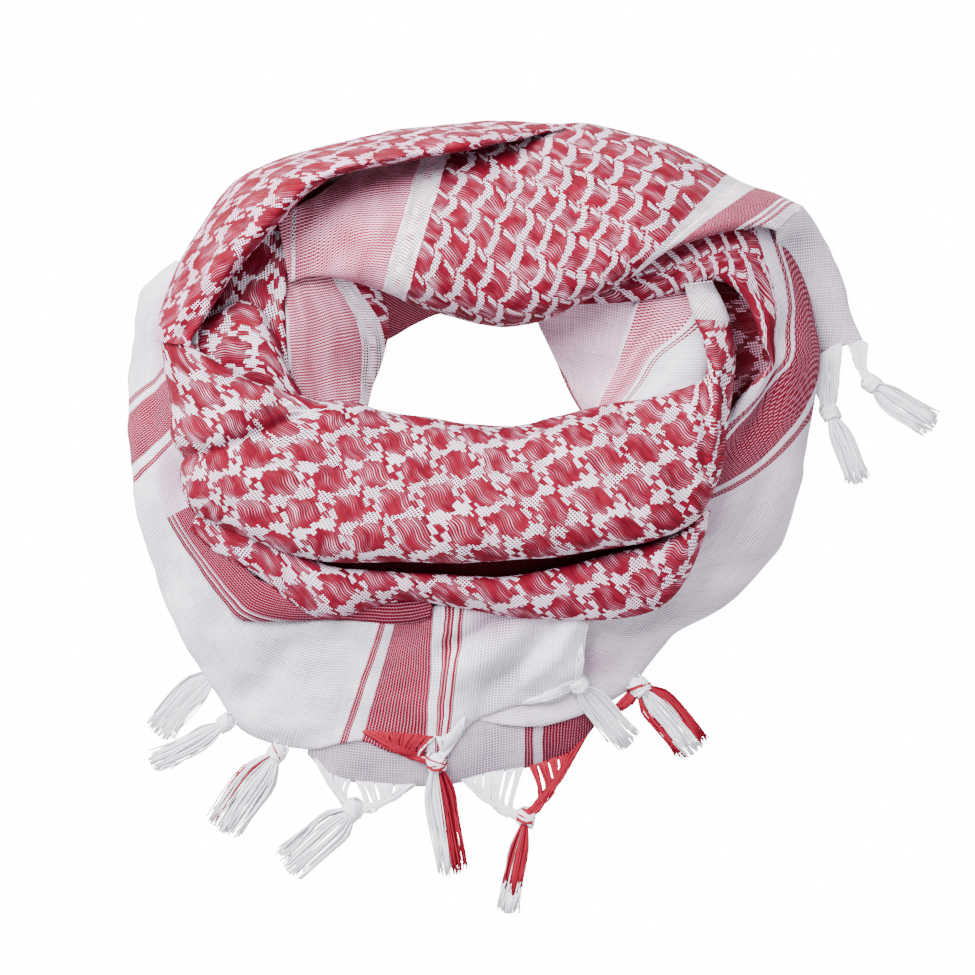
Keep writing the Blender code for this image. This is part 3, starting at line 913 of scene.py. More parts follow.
    def build(self) -> bpy.types.Object:
        """Returns:
            The piece.
        """
        stretch = self.stretch
        mesh = bpy.data.meshes.new(stretch.name)
        faces = self.faces()
        mesh.from_pydata([tuple(p) for p in self.points.reshape(-1, 3) * MM], [], faces)
        write_places(mesh, {"cloth": self.pattern, "lay": self.lay})
        mesh.shade_smooth()
        obj = link_piece("cloth_" + stretch.name, mesh)
        thick = obj.modifiers.new("thickness", "SOLIDIFY")
        thick.thickness = CLOTH_THICK * MM
        thick.offset = -1
        mesh.materials.append(ClothFinish("weave_" + stretch.name, stretch.weave).graph.material)
        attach(obj, "root")
        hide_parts(*(stretch.nodes or (stretch.name,)))
        LOG.info("%s: %d faces, %.0f x %.0f mm of cloth", obj.name, len(faces), self.broad, self.long)
        return obj


class RingShell:
    """The ring of hidden layers, as one rounded cloth-covered form, flat underneath."""

    # Each row: the inner edge, the outer edge and the height between them, clockwise from the left.
    ROWS = (
        (-96, 76, -176, 76, 40),
        (-90, 102, -160, 136, 40),
        (-68, 116, -118, 168, 38),
        (-35, 119, -50, 180, 40),
        (0, 118, 20, 180, 42),
        (24, 114, 72, 165, 38),
        (36, 100, 112, 128, 26),
        (40, 82, 124, 82, 20),
        (38, 62, 118, 34, 24),
        (28, 42, 96, -12, 30),
        (8, 33, 55, -45, 34),
        (-25, 32, 0, -62, 36),
        (-60, 35, -60, -70, 36),
        (-86, 42, -115, -62, 36),
        (-96, 54, -158, -25, 38),
        (-99, 65, -175, 22, 40),
    )
    FINE = 40  # points read between two rows
    MIDDLE = (-25, 70)  # the middle of the hole
    GIRTH = 110  # millimetres of cloth to one radian round the middle

    def __init__(self, steps: int = 220, arch: int = 60) -> None:
        """Shapes the ring.

        Args:
            steps: Points round it.
            arch: Points over it.
        """
        table = np.array(self.ROWS + self.ROWS[:3], float)
        table = np.concatenate([np.array(self.ROWS[-2:], float), table])
        count = len(self.ROWS)
        fine = smooth_rows(table, (len(table) - 1) * self.FINE + 1)[2 * self.FINE : (2 + count) * self.FINE]
        table = fine[np.linspace(0, len(fine), steps, endpoint=False).astype(int)]
        angle = np.linspace(math.pi, 0, arch)
        share = (1 + np.sign(np.cos(angle)) * np.abs(np.cos(angle)) ** 0.8) / 2
        rise = np.abs(np.sin(angle)) ** 0.8
        inner, outer = table[:, None, 0:2], table[:, None, 2:4]
        flat = inner + (outer - inner) * share[None, :, None]
        height = table[:, 4:5] * rise[None, :]
        self.points = np.concatenate([flat, height[..., None]], axis=2)
        self.steps, self.arch = steps, arch
        for i in range(steps):
            for j in range(1, arch - 1):
                x, y, z = self.points[i, j]
                ridge = noise.noise(Vector((x / 40, y / 40, z / 6))) * min(1.0, z / 10)
                self.points[i, j, 2] += 1.6 * ridge

    def build(self) -> bpy.types.Object:
        """Returns:
            The piece.
        """
        faces = self.faces(underside=True)
        mesh = bpy.data.meshes.new("hidden_layers")
        mesh.from_pydata([tuple(p) for p in self.points.reshape(-1, 3) * MM], [], faces)
        shape = bmesh.new()
        shape.from_mesh(mesh)
        bmesh.ops.recalc_face_normals(shape, faces=shape.faces)
        shape.to_mesh(mesh)
        shape.free()
        x, y = self.points[..., 0] - self.MIDDLE[0], self.points[..., 1] - self.MIDDLE[1]
        run = np.concatenate([[0], np.cumsum(np.linalg.norm(np.diff(self.points[0], axis=0), axis=1))])
        flat = np.stack([np.arctan2(y, x) * self.GIRTH, np.ones((self.steps, 1)) * run], axis=2) * MM
        write_places(mesh, {"cloth": flat, "lay": flat})
        mesh.shade_smooth()
        obj = link_piece("cloth_hidden_layers", mesh)
        # painted shade: the ring only shows in the slots between the stretches, so its colours are multiplied
        # down to a dark red
        weave = Weave(Kind.BAND, turn=40, pale=False, painted_shade_and_tint=(0.30, 0.07, 0.09))
        mesh.materials.append(ClothFinish("weave_hidden_layers", weave).graph.material)
        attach(obj, "root")
        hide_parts("hidden_layers")
        LOG.info("%s: %d faces", obj.name, len(faces))
        return obj

    def faces(self, underside: bool) -> list[tuple[int, int, int, int]]:
        """The ring's quads, with or without those flat underneath."""
        arch, made = self.arch, []
        for i in range(self.steps):
            here, there = i * arch, (i + 1) % self.steps * arch
            made += [(here + j, here + j + 1, there + j + 1, there + j) for j in range(arch - 1)]
            if underside:
                made.append((here + arch - 1, here, there, there + arch - 1))
        return made

    def tree(self) -> BVHTree:
        """The ring's upper faces, for what is laid over it."""
        points = [Vector(p) for p in self.points.reshape(-1, 3)]
        return BVHTree.FromPolygons(points, self.faces(underside=False))


STRIPES = (
    Zone(1, 2.6, Kind.PLAIN),
    Zone(42, 55, Kind.DASH),
    Zone(43, 46, Kind.PLAIN),
    Zone(50, 53, Kind.PLAIN),
)

STRETCHES = (
    Stretch(
        "back_inner_wall",
        (
            Row(-84, 84, 8, -94, 112, 34, 4),
            Row(-72, 90, 7, -82, 119, 38, 4),
            Row(-60, 97, 7, -66, 122, 42, 4),
            Row(-49, 102, 8, -50, 124, 44, 4),
            Row(-38, 103, 10, -38, 122, 44, 4),
        ),
        # painted shade: the inner wall lies deep in the hole
        Weave(Kind.BAND, turn=30, pale=False, painted_shade_and_tint=(0.72, 0.60, 0.64)),
        Slot.FIGURED,
    ),
    Stretch(
        "right_inner_white",
        (
            Row(-1, 106, 14, 50, 119, 40, 4, 4, 62),
            Row(3, 96, 9, 51, 103, 36, 5, 4, 58),
            Row(9, 83, 6, 48, 88, 32, 6, 4, 52),
            Row(14, 71, 6, 45, 75, 30, 6, 0, 42),
            Row(19, 61, 7, 41, 63, 32, 5, 0, 36),
            Row(25, 51, 10, 38, 53, 36, 3, 0, 30),
        ),
        # painted pinkish shade, deep in the hole
        Weave(Kind.PLAIN, (Zone(-3, 2.2, Kind.NARROW),), turn=20, painted_shade_and_tint=(0.95, 0.66, 0.74)),
        Slot.WHITE,
        turned=True,
    ),
    Stretch(
        "inner_stripe_fold",
        (
            Row(-130, 135, 41, -90, 134, 38, 2, -2, 78),
            Row(-129, 121, 44, -80, 120, 36, 3, -2, 74),
            Row(-128, 111, 47, -75, 110, 26, 6, -2, 68),
            Row(-127, 100, 48, -73, 101, 16, 8, -3, 62),
            Row(-127, 88, 47, -73, 90, 10, 9, -3, 57),
            Row(-126, 76, 45, -76, 78, 9, 9, -3, 53),
            Row(-124, 66, 43, -80, 66, 12, 8, -3, 50),
            Row(-120, 55, 42, -84, 52, 22, 5, -2, 48),
        ),
        Weave(Kind.FINE, STRIPES + (Zone(55, 90, Kind.SHELL),), pale=False),
        Slot.STRIPED,
        curl_b=(5, 90),
        turned=True,
    ),
    Stretch(
        "left_inner_fold",
        (
            Row(-138, 151, 46, -118, 152, 46, 2),
            Row(-150, 135, 46, -120, 139, 48, 3),
            Row(-158, 121, 46, -123, 124, 50, 3),
            Row(-165, 108, 46, -124, 110, 51, 3),
            Row(-169, 96, 46, -124, 96, 51, 3),
            Row(-170, 86, 46, -123, 82, 49, 3),
            Row(-160, 76, 45, -121, 70, 47, 3),
        ),
        Weave(Kind.FIGURE, turn=20, pale=False),
        Slot.FIGURED,
    ),
    Stretch(
        "left_puff",
        (
            Row(-175, 93, 51, -174, 83, 49, 2),
            Row(-159, 102, 55, -157, 72, 50, 8),
            Row(-147, 108, 55, -143, 66, 48, 12),
            Row(-136, 104, 55, -131, 62, 47, 13),
            Row(-128, 89, 54, -121, 58, 46, 10),
            Row(-122, 72, 50, -112, 56, 45, 5),
        ),
        Weave(Kind.FIGURE, turn=-4, shift=8, pale=False),
        Slot.FIGURED,
        curl_a=(6, 100),
    ),
    Stretch(
        "pocket_lining",
        (
            Row(74, 140, 42, 120, 139, 30, -1),
            Row(80, 126, 43, 114, 122, 34, -3),
            Row(86, 110, 43, 114, 106, 34, -5),
            Row(90, 92, 43, 117, 92, 32, -5),
            Row(91, 76, 43, 117, 78, 31, -4),
            Row(91, 62, 43, 112, 64, 32, -2),
            Row(90, 44, 42, 103, 48, 35, -1),
            Row(88, 26, 41, 98, 30, 36, 0),
        ),
        # painted shade inside the hook
        Weave(Kind.FIGURE, turn=100, pale=False, painted_shade_and_tint=(0.42, 0.22, 0.26)),
        Slot.FIGURED,
    ),
    Stretch(
        "right_inner_stripe",
        (
            Row(53, 112, 40, 82, 114, 42, 4, 0, 24),
            Row(48, 101, 36, 84, 103, 40, 8, 0, 27),
            Row(44.5, 89, 32, 87, 90, 40, 10, 0, 43),
            Row(41, 77, 32, 88, 77, 42, 11, 0, 78),
            Row(36, 66, 34, 84, 66, 44, 8, 0, 88),
            Row(30, 54, 38, 72, 56, 46, 4, 0, 96),
        ),
        Weave(
            Kind.PLAIN,
            (
                Zone(-9, 1.6, Kind.PLAIN),
                Zone(1.6, 24, Kind.FINE),
                Zone(27.5, 29, Kind.NARROW),
                Zone(30, 31.5, Kind.NARROW),
            ),
            turn=90,
        ),
        Slot.STRIPED,
        curl_a=(6, 100),
        turned=True,
    ),
    Stretch(
        "under_flap",
        (
            Row(-112, -104, 12, -114, -119, 3, 1, 88, 88),
            Row(-97, -103, 13, -101, -130, 3, 2, 101, 101),
            Row(-76, -103, 13, -77, -134.5, 3, 3.5, 124, 124),
            Row(-56, -103, 13, -57, -135.5, 3, 3, 144, 144),
            Row(-40, -100, 13, -41, -134.5, 3, 4, 160, 160),
            Row(-20, -96, 13, -21, -129, 3, 3, 180, 180),
            Row(-4, -92, 13, -4, -126, 3, 4, 196.5, 196.5),
            Row(10, -88, 13, 9, -123, 3, 3, 209, 209),
            Row(22, -84, 12, 20, -118, 3, 3, 220, 220),
            Row(31, -82, 10, 31, -104, 3, 2, 231, 231),
        ),
        Weave(
            Kind.PLAIN,
            (Zone(196, 200.4, Kind.NARROW), Zone(204.5, 240, Kind.BAND)),
            # painted shade: the flap lies low, under the outer drape
            painted_shade_and_tint=(0.58, 0.50, 0.55),
        ),
        Slot.WHITE,
    ),
    Stretch(
        "right_drape",
        (
            Row(26, 126, 46, 22, 107, 40, 4, -62, -84),
            Row(46, 134, 48, 45, 108, 44, 6, -42, -68),
            Row(68, 144, 46, 65, 111, 47, 9, -14, -48),
            Row(92, 151, 40, 82, 116, 48, 12, 18, -20),
            Row(114, 150, 28, 92, 118.5, 48, 13, 47, 2),
            Row(127, 139.5, 19, 101, 113.5, 47, 14, 60, 14),
            Row(135, 122, 14, 108, 104, 45, 13, 66, 18),
            Row(141, 98, 9, 114, 91, 42, 13, 73, 25),
            Row(143, 80, 7, 117, 77, 38, 13, 80, 32),
            Row(141, 60, 6, 107, 64, 36, 12, 87, 38),
            Row(139, 46, 6, 96, 50, 36, 11, 94, 44),
            Row(136, 28, 6, 88, 30, 36, 10, 108, 56),
            Row(131, 4, 6, 82, 10, 36, 9, 130, 86),
            Row(122, -17, 6, 72, -3, 36, 8, 150, 104),
            Row(104, -37, 6, 60, -14, 36, 8, 176, 124),
            Row(86, -50.5, 6, 48, -24, 36, 7, 198, 146),
            Row(70, -59, 6, 38, -32, 34, 6, 214, 166),
            Row(58, -74, 5, 28, -40, 30, 5, 232, 190),
            Row(47, -87, 5, 18, -50, 26, 4, 250, 215),
            Row(26, -98, 5, 5, -58, 24, 3, 275, 245),
            Row(0, -105, 6, -10, -66, 22, 2, 300, 280),
            Row(-28, -101, 6, -25, -74, 20, 2, 330, 310),
        ),
        Weave(
            Kind.PLAIN,
            (
                Zone(-400, 40, Kind.SHELL),
                Zone(49, 52.6, Kind.NARROW),
                Zone(55, 83, Kind.BAND),
                Zone(87, 91, Kind.NARROW),
            ),
            # painted shade: the right side is darker, away from the light; the patches add red showing
            # through with painted shade
            painted_shade_and_tint=(0.86, 0.80, 0.83),
            show_through_and_shade=(ShowThroughAndShade(240, -6, 18, 16, 0.55), ShowThroughAndShade(110, 14, 30, 10, 0.4)),
        ),
        Slot.WHITE,
        square=2.3,
        curl_a=(3, 80),
        curl_b=(8, 110),
        creases=(
            Crease(((126, 104), (124.5, 90), (122, 72), (113, 47), (103, 36), (92, 28)), 6.0, 7.0),
            Crease(((118, 20), (108, -6), (92, -24), (74, -38)), 2.5, 9.0),
            Crease(((132, 30), (120, 0), (104, -20)), -2.0, 8.0),
            Crease(((70, -40), (58, -52), (44, -60)), 2.2, 6.0),
        ),
        ripple=0.5,
    ),
    Stretch(
        "outer_drape",
        (
            Row(-180, 130, 12, -160, 118, 36, 3, -12, 16),
            Row(-196, 114, 8, -166, 103, 38, 5, 5, 36),
            Row(-202, 90, 7, -167, 85, 40, 7, 29, 62),
            Row(-204, 60, 7, -165, 66, 40, 9, 58, 88),
            Row(-203, 30, 7, -160, 38, 40, 9, 88, 118),
            Row(-199, 2, 7, -152, 10, 40, 9, 116, 146),
            Row(-191, -28, 7, -142, -14, 38, 9, 145, 172),
            Row(-182, -50, 6, -138, -34, 32, 9, 171, 192),
            Row(-170, -72, 5, -134, -45, 27, 9, 199, 214),
            Row(-157, -93, 4, -126, -50, 25, 8, 225, 232),
            Row(-142, -109, 3.5, -110, -51, 25, 7, 247, 252),
            Row(-118, -117, 3.5, -92, -51, 26, 6, 269, 274),
            Row(-96, -114, 6, -75, -51, 27, 5.5, 291.5, 291.5),
            Row(-86, -113, 7, -68, -49, 28, 5, 303, 303),
            Row(-70, -118, 8, -60, -46, 30, 5, 317, 316),
            Row(-54, -118, 9, -50, -44, 31, 5.5, 330, 330),
            Row(-46, -117, 9.5, -38, -42, 32, 6, 338.5, 338.5),
            Row(-30, -103, 11, -20, -42, 34, 8, 352, 354),
            Row(-10, -94.5, 13, 0, -44, 34, 7, 371, 375),
            Row(10, -92, 14, 15, -46, 34, 8, 391, 392),
            Row(22, -84, 15, 28, -52, 33, 4, 402, 404),
        ),
        Weave(
            Kind.PLAIN,
            (
                Zone(58.7, 62, Kind.NARROW),
                Zone(66, 93, Kind.BAND),
                Zone(98, 101, Kind.NARROW),
                Zone(289.4, 293.6, Kind.NARROW),
                Zone(302, 330, Kind.BAND),
                Zone(334.3, 337.6, Kind.NARROW),
                Zone(339.4, 341.4, Kind.NARROW),
            ),
            # the first two patches are red showing through with painted red bounce light by the band; the
            # last two are painted shadow under the front band
            show_through_and_shade=(
                ShowThroughAndShade(28, 6, 46, 15, 0.8),
                ShowThroughAndShade(116, 3, 26, 14, 0.8),
                ShowThroughAndShade(356, 30, 18, 17, 0.7),
                ShowThroughAndShade(378, 26, 14, 12, 0.5),
            ),
        ),
        Slot.WHITE,
        square=2.3,
        curl_a=(2.5, 80),
        creases=(
            Crease(((-150, -98), (-130, -76), (-117, -58)), 3.2, 9.0),
            Crease(((-115, -112), (-104, -85), (-98, -60)), -2.4, 10.0),
            Crease(((-12, -46), (-28, -58), (-42, -66), (-50, -70)), 4.6, 6.5),
            Crease(((0, -48), (-14, -62), (-30, -74), (-46, -84)), -3.0, 8.0),
            Crease(((11, -47), (4, -61), (-2, -70), (-14, -81), (-28, -88)), 4.6, 6.0),
            Crease(((24, -48), (14, -64), (3, -76), (-10, -87)), -2.6, 6.0),
            Crease(((-190, 10), (-184, -20), (-168, -48)), 2.6, 8.0),
            Crease(((-195, 100), (-192, 60), (-188, 20)), 2.2, 7.0),
        ),
        ripple=0.8,
    ),
    Stretch(
        "red_tuck",
        (
            Row(-168, 8, 40, -184, 0, 32, 2, 26, 0),
            Row(-158, -8, 40, -174, -16, 33, 3, 26, 0),
            Row(-148, -20, 40, -164, -31, 33, 4, 24, 0),
            Row(-138, -30, 40, -155, -43, 33, 4, 24, 0),
            Row(-128, -34, 40, -147, -51, 32, 4, 26, 0),
            Row(-114, -38, 40, -126, -51.5, 32, 4, 24, 6),
            Row(-92, -38, 40, -98, -51, 33, 4, 20, 7),
            Row(-66, -38, 40, -68, -53, 34, 3, 20, 7),
            Row(-50, -38, 40, -52, -50, 36, 2, 18, 7),
        ),
        Weave(
            Kind.BAND,
            (Zone(-4, 0.4, Kind.PLAIN), Zone(2.6, 3.6, Kind.PLAIN), Zone(5.6, 6.6, Kind.PLAIN)),
            turn=0,
            pale=False,
            # painted shade inside the red fold
            painted_shade_and_tint=(0.74, 0.62, 0.68),
        ),
        Slot.STRIPED,
        curl_b=(4, 100),
        turned=True,
    ),
    Stretch(
        "lower_roll",
        (
            Row(-163, 12, 46, -172, -6, 40, 4),
            Row(-147, 2, 47, -160, -17, 38, 7),
            Row(-134, -7, 47, -140, -28, 36, 9),
            Row(-119, -16, 47, -122, -42, 34, 10),
            Row(-102, -23.5, 47, -103, -50.5, 34, 10),
            Row(-82, -25.5, 47, -82, -45, 36, 10),
            Row(-60, -27, 47, -60, -42, 37, 10),
            Row(-35, -28.5, 47, -35, -45.5, 38, 10),
            Row(-10, -28.5, 47, -10, -49.5, 38, 10),
            Row(14, -24, 47, 14, -51, 38, 10),
            Row(38, -17.5, 47, 40, -50.5, 38, 9),
            Row(58, -12.5, 47, 62, -45, 38, 9),
            Row(72, -7, 47, 76, -30, 39, 8),
            Row(80, -1, 47, 85, -9, 41, 5),
            Row(84, 4, 46, 87.5, 4, 43, 3),
        ),
        # painted light: the roll a little lighter and pinker, against the front band's shadow
        Weave(Kind.FIGURE, turn=46, shift=4, pale=False, painted_shade_and_tint=(1.07, 1.0, 1.05)),
        Slot.FIGURED,
        curl_a=(6, 100),
        curl_b=(8, 110),
        ripple=0.5,
        spacing=1.5,
        straight=True,
    ),
    Stretch(
        "back_band",
        (
            Row(-122, 118, 51, -128, 150, 50, 4, 0, -6),
            Row(-108, 120.5, 52, -112, 159, 40, 8, 13, 8),
            Row(-92, 118, 54, -86, 176, 14, 26, 27, 23),
            Row(-75, 112.5, 50, -54, 185.5, 6, 37, 43, 43),
            Row(-58, 106, 44, -31, 191, 5, 43, 62, 64),
            Row(-38, 99.5, 38, -6, 195, 5, 46, 83, 85),
            Row(-17, 95, 34, 12, 198, 5, 47, 104, 104),
            Row(3, 97.5, 34, 30, 197.5, 5, 48, 125, 122),
            Row(20, 105, 38, 48, 194, 5, 47, 143, 140),
            Row(36, 113, 46, 72, 187, 5, 44, 160, 160),
            Row(50, 121, 52, 100, 171.5, 8, 34, 178, 178),
            Row(66, 132, 55, 110, 167, 12, 26, 192, 189),
            Row(84, 139, 56, 119, 164, 16, 19, 205, 201),
            Row(108, 144.5, 50, 128, 160, 20, 12, 217, 217),
            Row(121, 143.5, 46, 134.5, 156.5, 21, 6, 226, 222),
        ),
        Weave(
            Kind.FINE,
            STRIPES
            + (
                Zone(55, 176, Kind.SHELL),
                Zone(176, 191, Kind.PLAIN),
                Zone(181, 184, Kind.DASH),
                Zone(191, 213, Kind.BAND),
                Zone(213, 300, Kind.PLAIN),
                Zone(215, 217, Kind.NARROW),
                Zone(218.5, 220, Kind.NARROW),
            ),
            turn=-30,
            pale=False,
        ),
        Slot.FIGURED,
        square=2.3,
        curl_a=(6, 105),
        creases=(
            Crease(((24, 192), (20, 165), (24, 140), (28, 118)), 2.6, 5.0),
            Crease(((30, 190), (27, 165), (31, 142), (36, 122)), -2.4, 6.0),
            Crease(((100, 165), (84, 156), (66, 148)), 1.6, 6.0),
            Crease(((-96, 158), (-84, 140), (-78, 122)), -1.6, 9.0),
            Crease(((-50, 165), (-30, 135), (-24, 108)), 1.3, 10.0),
        ),
        ripple=0.45,
        spacing=1.5,
    ),
    Stretch(
        "right_tail",
        (
            Row(134.5, 156.5, 21, 121, 143, 46, 6, 226, 226),
            Row(142, 147, 16, 121, 131, 26, 6, 240, 240),
            Row(149.5, 133, 10, 126, 118, 15, 6, 256, 256),
            Row(156, 117, 7, 131, 105, 7, 6, 276, 274),
            Row(160, 102, 5, 136, 95, 4, 5, 292, 288),
            Row(165.5, 90, 3, 140, 80, 3, 2.5, 306, 304),
        ),
        # painted shade: the tail greyer, as the right side lies away from the light
        Weave(Kind.PLAIN, turn=25, painted_shade_and_tint=(0.82, 0.75, 0.79)),
        Slot.WHITE,
        curl_a=(2, 80),
        ripple=0.5,
        lifted=False,
    ),
    Stretch(
        "front_band",
        (
            Row(-167, 84, 60, -187, 98, 42, 8),
            Row(-153, 75, 58, -184, 72, 42, 14),
            Row(-133, 66, 54, -179, 40, 44, 18),
            Row(-112, 60, 48, -172, 6, 46, 20),
            Row(-92, 58, 42, -148, -7.5, 50, 22),
            Row(-72, 53, 36, -112, -20.5, 54, 24),
            Row(-50, 49.5, 32, -80, -22.5, 56, 26),
            Row(-30, 47, 30, -46, -22, 57, 27),
            Row(-8, 46, 30, -14, -21, 57, 27),
            Row(12, 51, 32, 12, -19, 56, 26),
            Row(36, 56.5, 36, 38, -15, 55, 24),
            Row(56, 60, 42, 62, -11, 53, 20),
            Row(72, 64, 50, 80, -2, 51, 14),
            Row(80, 67.5, 54, 88, 9, 49, 12),
            Row(83, 69, 55, 92.5, 22, 49, 10),
            Row(85, 71.5, 56, 95.5, 36, 49, 9),
            Row(86, 75, 56, 97.5, 54, 49, 9),
            Row(85.5, 81, 55, 99.5, 68, 49, 10),
            Row(83, 89, 54, 100.5, 82, 48, 10),
            Row(79.5, 99, 52, 98, 98, 46, 9),
            Row(77, 108, 48, 93.5, 109, 44, 7),
            Row(75.5, 116, 44, 89, 118, 40, 5),
        ),
        Weave(Kind.FIGURE, (Zone(381, 600, Kind.PLAIN),), turn=48, pale=False),
        Slot.FIGURED,
        square=2.2,
        curl_a=(8, 105),
        curl_b=(9, 115),
        creases=(
            Crease(
                ((-188, 31), (-172, 30), (-160, 33), (-148, 37), (-130, 45), (-117, 51.5), (-104, 59)),
                5.0,
                3.6,
            ),
            Crease(((-186, 43), (-172, 42), (-157, 45), (-140, 53), (-124, 62)), -3.6, 7.5),
            Crease(((-178, 14), (-150, 12), (-118, 30), (-90, 46)), -2.0, 12.0),
            Crease(((-170, 62), (-150, 56), (-128, 58)), -2.2, 9.0),
            Crease(((-20, 40), (0, 26), (26, 18), (50, 20)), 1.6, 11.0),
            Crease(((-90, -12), (-60, 2), (-20, -2), (10, -10)), -1.4, 12.0),
            Crease(((60, 40), (72, 20), (78, 2)), 2.4, 7.0),
            Crease(((82, 64), (86, 40), (84, 18)), 2.6, 4.0),
            Crease(((91, 78), (90, 56), (88, 34)), -2.0, 4.0),
            Crease(((95, 74), (94, 50), (91, 26)), 2.0, 3.0),
        ),
        ripple=0.5,
        spacing=1.4,
        straight=True,
        nodes=("front_band", "tucked_end"),
    ),
    Stretch(
        "left_roll",
        (
            Row(14, 195.5, 27, 16, 197.5, 19, 0.3),
            Row(4, 192, 36, 6, 198.5, 20, 3),
            Row(-8, 188.8, 48, -7, 199.5, 18, 9),
            Row(-22, 185.6, 58, -20, 199.8, 11, 17),
            Row(-42, 181.5, 64, -42, 198.5, 6, 26),
            Row(-70, 176.5, 66, -68, 195, 5, 31),
            Row(-95, 170.5, 67, -98, 188.5, 5, 33),
            Row(-111, 162.5, 67, -126, 181, 5, 34),
            Row(-124, 149, 67, -149, 170.5, 5, 35),
            Row(-137, 136, 67, -166, 150, 7, 34),
            Row(-149, 122, 68, -176, 132, 16, 29),
            Row(-158, 108, 68, -184, 113, 28, 20),
            Row(-166, 95, 66, -187, 102, 40, 11),
            Row(-169.5, 89.5, 61, -187.5, 95, 43, 9),
            Row(-171.5, 85.5, 52, -187.5, 88, 43, 8),
        ),
        # a redder tone, with red lifted a little and green and blue lowered
        Weave(Kind.FIGURE, turn=40, shift=11, pale=False, painted_shade_and_tint=(1.06, 0.84, 0.92), loose=0.5),
        Slot.FIGURED,
        curl_a=(9, 120),
        creases=(
            Crease(((-186, 92), (-174, 110), (-160, 131), (-142, 152)), 3.2, 5.0),
            Crease(((-120, 172), (-90, 180), (-50, 188)), 1.6, 7.0),
            Crease(((-181, 96), (-168, 116), (-152, 138)), -2.4, 5.0),
            Crease(((-178, 86), (-168, 102), (-156, 119)), 2.6, 4.0),
        ),
        ripple=0.5,
        spacing=1.5,
    ),
)


# ---------------------------------------------------------------------------------------------- the tassels


@dataclass(frozen=True)
class TasselPlan:
    """One knotted tassel.

    path runs from the knot to the end of its threads.  red is the share of red threads, and side is where
    they lie: -1 left of the way it points, 1 right, 0 all through, 2 both edges.  hem holds the places that
    threads come from, where the threads above the knot show.  pull is the side whose hem threads are red, sag
    how far they hang below a straight line, and over says that they lie on the cloth.
    """

    node: str
    radius: float
    path: tuple[tuple[float, float, float], ...]
    width: float
    red: float = 0.0
    side: int = 0
    white_tip: bool = False
    knotted: bool = True
    pull: int = 0
    sag: float = 3.0
    over: bool = False
    hem: tuple[tuple[float, float, float], ...] = ()
    strands: int = 105
    slot: Slot = Slot.TASSEL_WHITE


TASSELS = (
    TasselPlan(
        "tassel_left_1",
        4.2,
        ((-160, -77, 2.5), (-175, -91, 4), (-190, -109, 3)),
        15,
        knotted=False,
        strands=100,
    ),
    TasselPlan("tassel_left_2", 4.2, ((-155, -103, 8), (-172, -114, 5), (-193, -124, 3)), 11, strands=90),
    TasselPlan("tassel_left_3", 4.6, ((-129, -118, 8), (-144, -137, 5), (-158, -158, 3)), 20, 0.16, 1),
    TasselPlan(
        "tassel_front_4",
        5.2,
        ((-91, -147, 5.5), (-105, -159, 5), (-125, -177, 3)),
        19,
        hem=(
            *((-111, -117, 4), (-105, -125, 4), (-96, -129, 4)),
            *((-84, -131, 4), (-72, -132, 4), (-58, -133, 4)),
        ),
    ),
    TasselPlan(
        "tassel_front_5",
        4.8,
        ((-49, -123, 14), (-46, -148, 6), (-40, -180, 3)),
        15,
        0.5,
        -1,
        pull=-1,
        sag=1.5,
        over=True,
        hem=(
            *((-86, -107, 8), (-79, -107, 9), (-72, -107.5, 9), (-65, -108, 10)),
            *((-57, -109, 10), (-45, -110, 11), (-39, -105, 11), (-34, -100, 11)),
        ),
        slot=Slot.TASSEL_RED,
    ),
    TasselPlan(
        "tassel_front_6",
        4.6,
        ((-4, -151, 5.5), (-9, -176, 5), (-14, -199, 3)),
        10,
        0.92,
        white_tip=True,
        pull=1,
        hem=(
            *((-38, -130, 4), (-28, -127.5, 4), (-18, -125, 4), (-4, -122, 4)),
            *((8, -119.5, 4), (16, -116.5, 4), (24, -110.5, 4), (30, -102.5, 4)),
        ),
        slot=Slot.TASSEL_RED,
    ),
    TasselPlan(
        "tassel_front_7",
        4.8,
        ((22, -83, 19), (34, -97, 10), (49, -114, 5)),
        14,
        sag=1.0,
        over=True,
        hem=(
            *((-6, -93, 13), (0, -92, 14), (6, -91, 15), (12, -89, 16)),
            *((17, -86, 17), (24, -78, 19), (25, -71, 21), (24, -64, 23)),
        ),
    ),
    TasselPlan(
        "tassel_right_8",
        5.2,
        ((53, -85, 8), (66, -98, 6), (82, -118, 3)),
        18,
        0.45,
        2,
        pull=-1,
        hem=((39, -97, 5), (42, -93, 6), (46, -89, 7), (50, -84, 7)),
        slot=Slot.TASSEL_RED,
    ),
    TasselPlan(
        "tassel_tail_9",
        4.4,
        ((170, 67.5, 5), (184, 57, 5), (202, 46, 3)),
        14,
        hem=((158, 94, 4), (162, 92, 4), (166, 89, 3), (168, 88, 3), (154, 96, 5)),
    ),
    TasselPlan(
        "tassel_tail_10",
        4.6,
        ((149, 53, 5), (157, 36, 5), (164, 17, 3)),
        11,
        hem=((139, 80, 8), (143, 82, 8), (147, 84, 7), (151, 87, 6), (155, 88, 6)),
    ),
)


